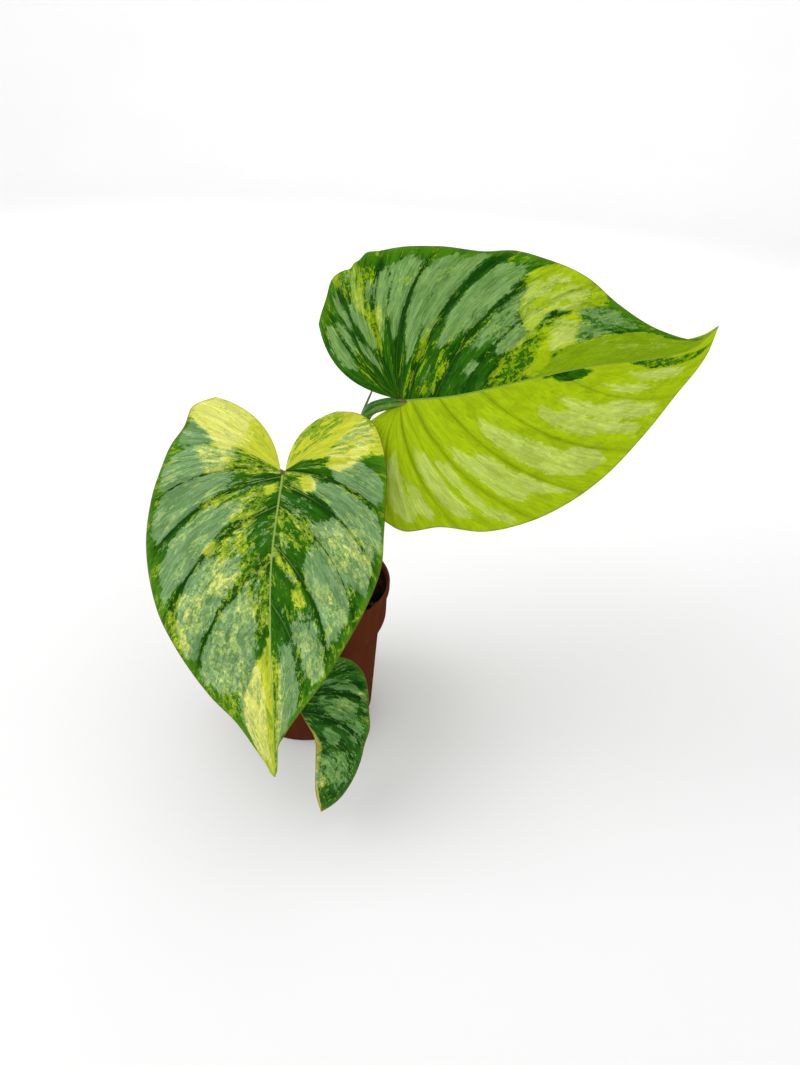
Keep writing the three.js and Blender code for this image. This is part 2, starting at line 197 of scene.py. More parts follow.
def new_mesh(name: str, points: Sequence, edges: Sequence, faces: Sequence) -> Mesh:
    """Makes a mesh of points in metres, edges and faces.

    Args:
        name: The mesh's name.
        points: Its points in metres.
        edges: Pairs of points.
        faces: The corners of each face.

    Returns:
        The mesh.
    """
    mesh = bpy.data.meshes.new(name)
    mesh.from_pydata(points, edges, faces)
    return mesh


def settle(source: Object, name: str) -> Object:
    """Turns what an object's modifiers make into a plain mesh.

    Args:
        source: The object with its modifiers, which is removed.
        name: The name of the new piece.

    Returns:
        The piece, with its faces pointing outwards.
    """
    bpy.context.view_layer.update()
    depsgraph = bpy.context.evaluated_depsgraph_get()
    evaluated = source.evaluated_get(depsgraph)
    mesh = bpy.data.meshes.new_from_object(evaluated, preserve_all_data_layers=True, depsgraph=depsgraph)
    bpy.data.objects.remove(source)
    mesh.name = name
    turn_outwards(mesh)
    return new_piece(name, mesh)


def turn_outwards(mesh: Mesh) -> None:
    """Makes all faces of a mesh of closed bodies point outwards.

    Args:
        mesh: The mesh, which is changed.
    """
    work = bmesh.new()
    work.from_mesh(mesh)
    bmesh.ops.recalc_face_normals(work, faces=work.faces)
    work.to_mesh(mesh)
    work.free()


def fit(piece: Object, slot: str, *nodes: str) -> Object:
    """Makes a piece ride on the body and hides the CAD nodes that it stands for.

    Args:
        piece: The finished piece.
        slot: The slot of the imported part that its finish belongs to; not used.
        nodes: The CAD nodes that it stands for, if any.

    Returns:
        The piece.
    """
    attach(piece, BODY)
    if nodes:
        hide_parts(*nodes)
    LOG.info("%s: %d faces", piece.name, len(piece.data.polygons))
    return piece


def mesh_from_grid(name: str, grid: Array) -> Mesh:
    """Makes a smooth mesh from rings of points, with each end drawn into one pole.

    Args:
        name: The mesh's name.
        grid: Points in mm, one row of points for each ring.

    Returns:
        The closed mesh, in metres.
    """
    rings, sides, _ = grid.shape
    points = np.concatenate([grid.reshape(-1, 3), [grid[0].mean(0)], [grid[-1].mean(0)]]) * MM
    start, end = rings * sides, rings * sides + 1
    faces = []
    for ring in range(rings - 1):
        for i in range(sides):
            a, b = ring * sides + i, ring * sides + (i + 1) % sides
            faces.append((a, b, b + sides, a + sides))
    for i in range(sides):
        j = (i + 1) % sides
        faces.append((start, j, i))
        faces.append((end, (rings - 1) * sides + i, (rings - 1) * sides + j))
    mesh = new_mesh(name, points.tolist(), [], faces)
    mesh.shade_smooth()
    turn_outwards(mesh)
    return mesh


def write_field(mesh: Mesh, name: str, values: Array) -> None:
    """Writes numbers or vectors onto the points of a mesh.

    Args:
        mesh: The mesh.
        name: The attribute's name.
        values: A number or a row of three for each point.
    """
    kind, member = ("FLOAT_VECTOR", "vector") if values.ndim > 1 else ("FLOAT", "value")
    attribute = mesh.attributes.new(name, kind, "POINT")
    attribute.data.foreach_set(member, values.astype(np.float32).reshape(-1))


def read_places(mesh: Mesh) -> Array:
    """Reads the places of a mesh's points in mm.

    Args:
        mesh: The mesh.

    Returns:
        One row for each point.
    """
    places = np.empty(len(mesh.vertices) * 3, np.float32)
    mesh.vertices.foreach_get("co", places)
    return places.reshape(-1, 3) / MM


# Node trees


class Value:
    """What a node puts out, ready for sums with numbers and with other values."""

    def __init__(self, graph: "Graph", socket: Socket) -> None:
        """Keeps the socket and the tree that its sums go into."""
        self.graph = graph
        self.socket = socket

    def __add__(self, other: object) -> "Value":
        """Returns the sum."""
        return self.graph.math("ADD", self, other)

    def __sub__(self, other: object) -> "Value":
        """Returns the difference."""
        return self.graph.math("SUBTRACT", self, other)

    def __rsub__(self, other: object) -> "Value":
        """Returns a number less this value."""
        return self.graph.math("SUBTRACT", other, self)

    def __mul__(self, other: object) -> "Value":
        """Returns the product."""
        return self.graph.math("MULTIPLY", self, other)

    def __truediv__(self, other: object) -> "Value":
        """Returns the quotient."""
        return self.graph.math("DIVIDE", self, other)

    __radd__ = __add__
    __rmul__ = __mul__


class Graph:
    """Short calls that add nodes to a tree and join them."""

    def __init__(self, tree: Tree) -> None:
        """Keeps the tree that the nodes go into."""
        self.tree = tree

    def add(self, kind: str, inputs: dict | None = None, **settings: object) -> Node:
        """Adds a node.

        Args:
            kind: The node's type name.
            inputs: Numbers or values for its inputs, by name or number.
            settings: What the node's own properties are set to.

        Returns:
            The node.
        """
        node = self.tree.nodes.new(kind)
        for name, value in settings.items():
            setattr(node, name, value)
        for key, value in (inputs or {}).items():
            self.feed(node.inputs[key], value)
        return node

    def out(self, kind: str, inputs: dict | None = None, output: int | str = 0, **settings: object) -> Value:
        """Adds a node as above and returns one of its outputs."""
        return Value(self, self.add(kind, inputs, **settings).outputs[output])

    def feed(self, target: Socket, value: object) -> None:
        """Links a value to an input, or sets the input to a number.

        Args:
            target: The input.
            value: A value of the same tree, or what the input is set to.
        """
        if isinstance(value, Value):
            self.tree.links.new(value.socket, target)
        else:
            target.default_value = value

    def sources(self) -> list[Value]:
        """Adds the group's input node and returns its inputs in order."""
        return [Value(self, socket) for socket in self.add("NodeGroupInput").outputs if socket.name]

    def result(self, value: Value) -> Tree:
        """Puts a value out of the group and returns the group's tree."""
        self.feed(self.add("NodeGroupOutput").inputs[0], value)
        return self.tree

    def math(self, operation: str, *values: object) -> Value:
        """Adds a math node on one to three values."""
        return self.out("ShaderNodeMath", dict(enumerate(values)), operation=operation)

    def vector(self, operation: str, *values: object) -> Value:
        """Adds a vector math node and returns its vector."""
        return self.out("ShaderNodeVectorMath", dict(enumerate(values)), operation=operation)

    def scaled(self, vector: Value, factor: object) -> Value:
        """Returns a vector times a number."""
        return self.out("ShaderNodeVectorMath", {0: vector, "Scale": factor}, operation="SCALE")

    def combine(self, x: object, y: object, z: object) -> Value:
        """Returns a vector made of three values."""
        return self.out("ShaderNodeCombineXYZ", {0: x, 1: y, 2: z})

    def split(self, vector: Value) -> list[Value]:
        """Returns the three values of a vector."""
        return [Value(self, socket) for socket in self.add("ShaderNodeSeparateXYZ", {0: vector}).outputs]

    def step(self, value: Value, low: float, high: float) -> Value:
        """Returns 0 at low, 1 at high and a smooth ramp between them, also where low is above high."""
        inputs = {"Value": value, "From Min": low, "From Max": high}
        return self.out("ShaderNodeMapRange", inputs, interpolation_type="SMOOTHSTEP")


class Paint(Graph):
    """The calls that only shader trees use."""

    def mix(self, share: object, low: object, high: object, blend: str = "MIX") -> Value:
        """Returns a colour between two colours, each a value or an 8-bit colour."""
        inputs = {0: share, 6: tint(low), 7: tint(high)}
        return self.out("ShaderNodeMix", inputs, 2, data_type="RGBA", blend_type=blend)

    def dimmed(self, colour: Value, light: Value) -> Value:
        """Returns a colour times a number."""
        return self.mix(1.0, colour, self.combine(light, light, light), "MULTIPLY")

    def number(self, name: str) -> Value:
        """Returns a number that the mesh holds for each of its points."""
        return self.out("ShaderNodeAttribute", None, "Fac", attribute_name=name)

    def triple(self, name: str) -> Value:
        """Returns a vector that the mesh holds for each of its points."""
        return self.out("ShaderNodeAttribute", None, "Vector", attribute_name=name)

    def place(self) -> Value:
        """Returns the place on the object in metres."""
        return self.out("ShaderNodeTexCoord", None, "Object")

    def cloud(self, vector: Value, scale: float, detail: float = 3, roughness: float = 0.55) -> Value:
        """Returns a soft noise between 0 and 1."""
        inputs = {"Vector": vector, "Scale": scale, "Detail": detail, "Roughness": roughness}
        return self.out("ShaderNodeTexNoise", inputs, "Fac")

    def group(self, tree: Tree, **inputs: object) -> Value:
        """Places a shared effect with its own values."""
        return self.out("ShaderNodeGroup", inputs, node_tree=tree)

    def bump(self, height: Value, strength: float, distance: float) -> Value:
        """Returns the normal of a surface with small heights."""
        inputs = {"Height": height, "Strength": strength, "Distance": distance}
        return self.out("ShaderNodeBump", inputs, "Normal")


def linear(colour: Colour) -> tuple[float, float, float, float]:
    """Turns an 8-bit screen colour into the linear values that a socket holds.

    Args:
        colour: Red, green and blue, from 0 to 255.

    Returns:
        Red, green, blue and a full alpha.
    """
    shares = [channel / 255 for channel in colour]
    low = [share / 12.92 if share <= 0.04045 else ((share + 0.055) / 1.055) ** 2.4 for share in shares]
    return (*low, 1.0)


def tint(value: object) -> object:
    """Leaves a value as it is and makes an 8-bit colour linear."""
    return value if isinstance(value, Value) else linear(value)


def new_tree(
    graph: type[Graph], name: str, inputs: dict[str, object], output: str
) -> tuple[Graph, list[Value]]:
    """Starts a node group.

    Args:
        graph: Paint for a shader group, or Graph for a geometry tree.
        name: The group's name.
        inputs: For each input, by name, its default number or the kind of its socket.
        output: The name of its one output: a number, or a geometry tree's geometry.

    Returns:
        The tree to add to, and its inputs in order.
    """
    kind, result = ("ShaderNodeTree", "Float") if graph is Paint else ("GeometryNodeTree", "Geometry")
    tree = bpy.data.node_groups.new(name, kind)
    for label, default in inputs.items():
        is_kind = isinstance(default, str)
        sort = default if is_kind else type(default).__name__.capitalize()
        socket = tree.interface.new_socket(label, in_out="INPUT", socket_type="NodeSocket" + sort)
        if not is_kind:
            socket.default_value = default
    tree.interface.new_socket(output, in_out="OUTPUT", socket_type="NodeSocket" + result)
    calls = graph(tree)
    return calls, calls.sources()


def jagged_group() -> Tree:
    """Builds patches of four sizes, drawn out along the veins, as living tissue grows them.

    Returns:
        The group, which takes a grain, the patches' length and width in mm, and a seed.
    """
    inputs = {"Grain": "Vector", "Length": 1.0, "Width": 1.0, "Seed": 0.0}
    paint, (grain, length, width, seed) = new_tree(Paint, "jagged tissue", inputs, "Value")
    along, across, _ = paint.split(grain)
    offset = seed * SEED_STEP
    flat = paint.combine(along / length + offset, across / width + offset, 0.0)
    warp = paint.out("ShaderNodeTexNoise", {"Vector": flat, "Scale": 1.3, "Detail": 3.0}, "Color")
    shift = paint.vector("MULTIPLY", paint.vector("SUBTRACT", warp, (0.5, 0.5, 0.5)), (0.6, 0.6, 0.0))
    bent = paint.vector("ADD", flat, shift)
    total = 0.0
    for scale, share in PATCH_SIZES:
        cells = {"Vector": bent, "Scale": scale}
        colour = paint.out("ShaderNodeTexVoronoi", cells, "Color", voronoi_dimensions="2D")
        total = paint.out("ShaderNodeSeparateColor", {0: colour}) * share + total
    return paint.result(total)


def fine_vein_group() -> Tree:
    """Builds the thin side veins that run between the main ones.

    Returns:
        The group, which takes a grain and the veins' spacing in mm.
    """
    paint, (grain, spacing) = new_tree(Paint, "fine veins", {"Grain": "Vector", "Spacing": 1.0}, "Lines")
    along, across, _ = paint.split(grain)
    slow = paint.combine(along * 0.03, across * 0.16, 0.0)
    drift = paint.cloud(slow, 1.0, 2.0) * 9.0
    wave = paint.math("SINE", across / spacing * (2 * math.pi) + drift)
    patchy = paint.step(paint.cloud(slow, 3.1, 2.0), 0.35, 0.62)
    return paint.result(paint.step(wave, 0.55, 1.0) * patchy)


def dirt_group() -> Tree:
    """Builds patches of dust and rubbed spots at two scales, on places in metres.

    Returns:
        The group, which takes a place in metres and the number of patches in a metre.
    """
    paint, (place, scale) = new_tree(Paint, "dust and rub", {"Place": "Vector", "Scale": 1.0}, "Value")
    place = paint.scaled(place, scale)
    return paint.result(paint.cloud(place, 1.0, 5.0, 0.6) * 0.65 + paint.cloud(place, 7.0, 4.0, 0.7) * 0.35)


@dataclass
class SharedEffects:
    """The node groups that more than one finish uses."""

    jagged: Tree = field(default_factory=jagged_group)
    fine_veins: Tree = field(default_factory=fine_vein_group)
    dirt: Tree = field(default_factory=dirt_group)


SHARED = SharedEffects()


@dataclass(frozen=True)
class Patches:
    """One kind of jagged patches: their length and width in mm, and their seed."""

    length: float
    width: float
    seed: float

    def on(self, paint: Paint, grain: Value | None = None) -> Value:
        """Returns the patches, from 0 to 1, on the piece's own grain or on a given one."""
        grain = grain or paint.triple("grain")
        return paint.group(SHARED.jagged, Grain=grain, Length=self.length, Width=self.width, Seed=self.seed)


TISSUE_TONE = Patches(14.0, 4.0, 5.0)
SKIN_STREAK = Patches(22.0, 1.4, 7.0)
SKIN_COVER = Patches(13.0, 3.2, 11.0)
LEAF_SHADE = Patches(12.0, 5.0, 9.0)
SPECKLE = Patches(2.3, 2.3, 13.0)
STALK_STREAK = Patches(9.0, 1.1, 3.0)
STALK_FLECK = Patches(3.0, 0.8, 4.0)


class Skin(Paint):
    """The tree of a new material, which feeds its surface shader."""

    def __init__(self, name: str, **fixed: float) -> None:
        """Starts a material.

        Args:
            name: The material's name.
            fixed: Values that are the same all over, by the name of the shader's socket with underscores.
        """
        self.material = bpy.data.materials.new(name)
        self.material.use_nodes = True
        super().__init__(self.material.node_tree)
        self.surface = self.tree.nodes["Principled BSDF"]
        self.dress(**fixed)

    def dress(self, **inputs: Value | float) -> Material:
        """Feeds the surface shader.

        Args:
            inputs: What to feed, by the name of the shader's socket as above.

        Returns:
            The material.
        """
        for label, value in inputs.items():
            self.feed(self.surface.inputs[label.replace("_", " ")], value)
        return self.material


# Finishes


@dataclass(frozen=True)
class LeafFinish:
    """The colours of one blade: green, half-green and yellow tissue, each bare and under the silver skin."""

    name: str
    deep: Colour
    green: Colour
    fresh: Colour
    lime: Colour
    yellow: Colour
    silver_green: Colour
    silver_lime: Colour
    silver_yellow: Colour
    vein: Colour
    midrib: Colour
    rim: Colour
    underside: Colour
    tip: Colour
    patch_length: float = 9.0
    patch_width: float = 4.2
    fresh_band: float = 14.0
    # share by which painted shade darkens the veins' valleys
    valley: float = 0.24
    vein_reach: float = 40.0
    skin_cover: float = 0.58
    skin_edge: float = 0.045
    vein_spacing: float = 2.4
    vein_tint: float = 0.38
    midrib_tint: float = 0.9
    rim_tint: float = 0.7
    fine_vein_tint: float = 0.34
    underside_tint: float = 0.62
    roughness: float = 0.42
    silver_roughness: float = 0.1

    def tissue(self, paint: Paint, half: Value, yellow: Value) -> Value:
        """Mixes the bare tissue: deep green by the veins, fresh green by the margin, lime and yellow.

        Args:
            paint: The material's tree.
            half: Where the tissue has lost half of its green.
            yellow: Where it has lost all of it.

        Returns:
            The tissue's colour.
        """
        tone = TISSUE_TONE.on(paint)
        depth = paint.number("groove") + tone * 1.3
        living = paint.mix(paint.step(depth, *DEEP_RAMP), self.green, self.deep)
        near_margin = (paint.number("margin") + tone * self.fresh_band) / self.fresh_band
        living = paint.mix(paint.step(near_margin, *FRESH_RAMP), living, self.fresh)
        golden = paint.mix(paint.step(tone, *GOLDEN_RAMP), self.yellow, self.lime)
        golden = paint.mix(0.35, self.yellow, golden)
        return paint.mix(yellow, paint.mix(half, living, self.lime), golden)

    def skin(self, paint: Paint, half: Value, yellow: Value) -> Value:
        """Mixes the silver skin over each tissue, with streaks along the veins.

        Args:
            paint: The material's tree.
            half: Where the tissue has lost half of its green.
            yellow: Where it has lost all of it.

        Returns:
            The skin's colour.
        """
        covered = paint.mix(yellow, paint.mix(half, self.silver_green, self.silver_lime), self.silver_yellow)
        grit = paint.cloud(paint.place(), 1300.0, 2.0, 0.7)
        return paint.dimmed(covered, SKIN_STREAK.on(paint) * 0.4 + grit * 0.42 + 0.59)

    def silvery(self, paint: Paint, silver: Value) -> Value:
        """Returns how much the silver skin covers, from how silver the blade is.

        Args:
            paint: The material's tree.
            silver: The painted level of silver with its patches.

        Returns:
            The share, from 0 to nearly 1.
        """
        edge = paint.step(silver, 0.5 - self.skin_edge, 0.5 + self.skin_edge)
        dense = paint.step(SKIN_COVER.on(paint), *DENSE_RAMP)
        return edge * (dense * (FULL_COVER - self.skin_cover) + self.skin_cover)

    def shade(self, paint: Paint) -> Value:
        """Returns how light the blade is: uneven from patch to patch, and darker in the veins' valleys, where
        the pleats' shade is painted.
        """
        # painted shade: the veins' valleys are darkened, standing in for the shade between the pleats
        valley = paint.step(paint.number("groove"), 0.4, 1.0) * self.valley
        return (LEAF_SHADE.on(paint) * 0.44 + 0.78) * (1.0 - valley)

    def speckle(self, paint: Paint) -> Value:
        """Returns fine patches round about zero, as wide as they are long on a blade that leans back.

        Args:
            paint: The material's tree.

        Returns:
            The speckle, from -0.5 to 0.5.
        """
        x, y, z = paint.split(paint.place())
        flat = paint.combine(x * (1 / MM), y * (0.6 / MM) + z * (0.8 / MM), 0.0)
        return SPECKLE.on(paint, flat) - 0.5

    def speckled(self, paint: Paint, level: Value, speckle: Value) -> Value:
        """Adds a fine speckle to a painted level, only where it lies between bare and full."""
        return level + speckle * (paint.step(level, 0.2, 0.36) * paint.step(level, 0.78, 0.62))

    def lines(self, paint: Paint, colour: Value) -> Value:
        """Draws the main veins, the midrib, the rim and the dried tip over the blade's colour.

        Args:
            paint: The material's tree.
            colour: The blade's colour so far.

        Returns:
            The colour with its lines.
        """
        near_vein = paint.step(paint.number("vein"), 0.5, 0.15)
        light = paint.step(paint.number("midrib"), self.vein_reach, 4.0)
        colour = paint.mix(near_vein * light * self.vein_tint, colour, self.vein)
        on_midrib = paint.step(paint.number("midrib"), 0.85, 0.35)
        colour = paint.mix(on_midrib * self.midrib_tint, colour, self.midrib)
        colour = paint.mix(paint.step(paint.number("margin"), 0.7, 0.25) * self.rim_tint, colour, self.rim)
        dry = paint.number("dry") + paint.cloud(paint.place(), 420.0) * 0.5
        return paint.mix(paint.step(dry, *DRY_RAMP), colour, self.tip)

    def material(self) -> Material:
        """Builds the blade's material.

        Returns:
            The material.
        """
        paint = Skin(self.name, Specular_IOR_Level=0.02)
        marble, shimmer = (
            Patches(self.patch_length, self.patch_width, seed).on(paint) - 0.5 for seed in (1.0, 2.0)
        )
        speckle = self.speckle(paint)
        painted = paint.number("tissue")
        # no patches at the fold's even lime level, which is painted shade
        uneven = paint.step(paint.math("ABSOLUTE", painted - SHADED_FOLD_LIME), *UNEVEN_RAMP)
        tissue = self.speckled(paint, painted, speckle * 0.85 * uneven) + marble * uneven
        silver = self.speckled(paint, paint.number("silver"), speckle * -0.5) + shimmer
        half, yellow = (paint.step(tissue, *ramp) for ramp in (LIME_RAMP, YELLOW_RAMP))
        silvery = self.silvery(paint, silver)
        bare = self.tissue(paint, half, yellow)
        colour = paint.mix(silvery, bare, self.skin(paint, half, yellow))
        lines = paint.group(SHARED.fine_veins, Grain=paint.triple("grain"), Spacing=self.vein_spacing)
        shaded = paint.mix(1.0, bare, VEIN_SHADE, "MULTIPLY")
        colour = paint.mix(lines * self.fine_vein_tint, colour, shaded)
        colour = self.lines(paint, paint.dimmed(colour, self.shade(paint)))
        colour = paint.mix(paint.number("under") * self.underside_tint, colour, self.underside)
        pores = paint.cloud(paint.place(), 2400.0, 2.0)
        normal = paint.bump(pores * 0.4 - lines, 0.4, 0.00015)
        rough = silvery * self.silver_roughness + self.roughness
        return paint.dress(Base_Color=colour, Roughness=rough, Normal=normal)


@dataclass(frozen=True)
class StalkFinish:
    """A green stalk with short dark and pale streaks, and a paler, browner joint below the blade."""

    name: str = "stalk skin"
    green: Colour = (66, 120, 32)
    dark: Colour = (30, 74, 24)
    pale: Colour = (150, 172, 84)
    joint: Colour = (112, 84, 52)
    wing: Colour = (150, 172, 88)
    joint_from: tuple[float, float] = (0.955, 0.99)

    def material(self) -> Material:
        """Builds the stalk's material.

        Returns:
            The material.
        """
        paint = Skin(self.name, Roughness=0.45, Specular_IOR_Level=0.03)
        streak = STALK_STREAK.on(paint)
        colour = paint.mix(paint.step(streak, 0.35, 0.65), self.dark, self.green)
        colour = paint.mix(paint.step(STALK_FLECK.on(paint), 0.66, 0.72) * 0.5, colour, self.pale)
        colour = paint.mix(paint.step(paint.number("share"), *self.joint_from), colour, self.joint)
        colour = paint.mix(paint.step(paint.number("edge"), 0.3, 0.9) * 0.4, colour, self.wing)
        return paint.dress(Base_Color=colour, Normal=paint.bump(streak, 0.3, 0.0003))


@dataclass(frozen=True)
class BarkFinish:
    """Brown or tan plant skin with rings, cracks and fibres."""

    name: str
    light: Colour
    dark: Colour
    scale: float = 90.0
    roughness: float = 0.75

    def material(self) -> Material:
        """Builds the material on the object's own place.

        Returns:
            The material.
        """
        paint = Skin(self.name, Roughness=self.roughness, Specular_IOR_Level=0.15)
        patch = paint.group(SHARED.dirt, Place=paint.place(), Scale=self.scale)
        fibre = paint.cloud(paint.vector("MULTIPLY", paint.place(), (900.0, 900.0, 160.0)), 1.0, 4.0, 0.65)
        shade = patch * 0.6 + fibre * 0.4
        colour = paint.mix(paint.step(shade, 0.36, 0.62), self.dark, self.light)
        return paint.dress(Base_Color=colour, Normal=paint.bump(shade, 0.6, 0.0008))


@dataclass(frozen=True)
class PotFinish:
    """Thin moulded brown plastic, satin, with faint flow marks, rubs on its edges, dust, and a painted shadow
    inside below the lip.

    Its shadow and its dust lie between two heights each, in metres.
    """

    name: str = "moulded brown plastic"
    base: Colour = (83, 41, 24)
    light: Colour = (97, 52, 32)
    dust: Colour = (84, 60, 44)
    shadow: Colour = (28, 14, 9)
    roughness: float = 0.42
    shadow_from: tuple[float, float] = (0.1155, 0.109)
    foot_dust: tuple[float, float] = (0.02, 0.0)

    def material(self) -> Material:
        """Builds the plastic.

        Returns:
            The material.
        """
        paint = Skin(self.name, Specular_IOR_Level=0.0)
        place = paint.place()
        z = paint.split(place)[2]
        flow = paint.cloud(paint.vector("MULTIPLY", place, (160.0, 160.0, 14.0)), 1.0, 3.0)
        patch = paint.group(SHARED.dirt, Place=place, Scale=38.0)
        colour = paint.mix(paint.step(flow, 0.3, 0.8) * 0.4, self.base, self.light)
        rub = paint.number("edge") * paint.step(patch, 0.46, 0.6)
        colour = paint.mix(rub * 0.55, colour, self.light)
        # painted shadow: the inside below the lip is darkened nearly to black, standing in for the shade in
        # the pot
        inside = paint.number("inside") * paint.step(z, *self.shadow_from)
        colour = paint.mix(inside * 0.92, colour, self.shadow)
        dusty = paint.step(patch, 0.5, 0.66) * (inside * 0.6)
        foot = paint.step(z, *self.foot_dust) * paint.step(patch, 0.5, 0.68)
        colour = paint.mix(paint.math("MAXIMUM", dusty, foot * 0.35), colour, self.dust)
        rough = paint.step(patch, 0.42, 0.7) * 0.1 + self.roughness
        return paint.dress(Base_Color=colour, Roughness=rough, Normal=paint.bump(patch, 0.15, 0.0001))


@dataclass(frozen=True)
class CrumbFinish:
    """Loose matter in the pot: dark peat, bark, coir or white perlite."""

    name: str
    dark: Colour
    light: Colour
    scale: float
    roughness: float = 0.9

    def material(self) -> Material:
        """Builds the material with a tone for each grain and a rough skin.

        Returns:
            The material.
        """
        paint = Skin(self.name, Roughness=self.roughness, Specular_IOR_Level=0.1)
        patch = paint.group(SHARED.dirt, Place=paint.place(), Scale=self.scale)
        colour = paint.mix(paint.step(patch, 0.38, 0.62), self.dark, self.light)
        return paint.dress(Base_Color=colour, Normal=paint.bump(patch, 0.8, 0.0006))


# Blades

ON_BORDER = 1e-6
COLUMN_PACKING = 3.2
COLUMN_BAND = 0.0075
TIP_REST = 0.012
RIGHT_GRAIN = 900.0


@dataclass(frozen=True)
class Wave:
    """The waves of a margin: height in mm, waves from sinus to tip, and phase."""

    height: float
    count: float
    phase: float


@dataclass(frozen=True)
class Scallop:
    """A bump or dent of a margin: where it is and how wide, from sinus to tip, and its height in mm."""

    place: float
    width: float
    height: float


@dataclass(frozen=True)
class Sector:
    """A patch of the blade: its level, how soft its border is in mm, and its corners as shares."""

    name: str
    level: float
    soft: float
    corners: Array


def sectors(text: str) -> tuple[Sector, ...]:
    """Reads the sectors of a half.

    Args:
        text: Sectors with semicolons between them. Each has its name, level, softness and a colon, then its
            corners as hundredths across the veins, sinus to tip, and along them, midrib to margin.

    Returns:
        The sectors in the order in which they are laid over each other.
    """
    found = []
    for entry in text.split(";"):
        label, corners = entry.split(":")
        *name, level, soft = label.split()
        found.append(Sector(" ".join(name), float(level), float(soft), table(corners) / 100))
    return tuple(found)


@dataclass(frozen=True)
class Half:
    """One half of a blade: its outline in mm, how it bends, its main veins and its colour sectors."""

    outline: Array
    fold: float
    fall: float
    lobe_drop: float
    sinus_bow: float
    wave: Wave
    veins: Array
    tissue_base: float
    tissue: tuple[Sector, ...]
    silver_base: float
    silver: tuple[Sector, ...]
    scallops: tuple[Scallop, ...] = ()

    def margin(self, w: Array) -> Array:
        """Returns the points of the margin, from the sinus to the tip, with their bumps and dents.

        Args:
            w: Columns, from 0 at the sinus to 1 at the tip.

        Returns:
            One row for each column.
        """
        edge = curve_points(self.outline, w)
        run = unit(np.gradient(edge, axis=0))
        outward = np.stack([run[:, 1], -run[:, 0]], -1)
        rest = np.clip((1 - w) / TIP_REST, 0, 1)
        for scallop in self.scallops:
            bump = scallop.height * rest * bell(w - scallop.place, scallop.width)
            edge = edge + outward * bump[:, None]
        return edge

    def margin_length(self) -> float:
        """Returns the length of the plain outline."""
        return runs_along(curve_points(self.outline, np.linspace(0, 1, 200)))[-1]


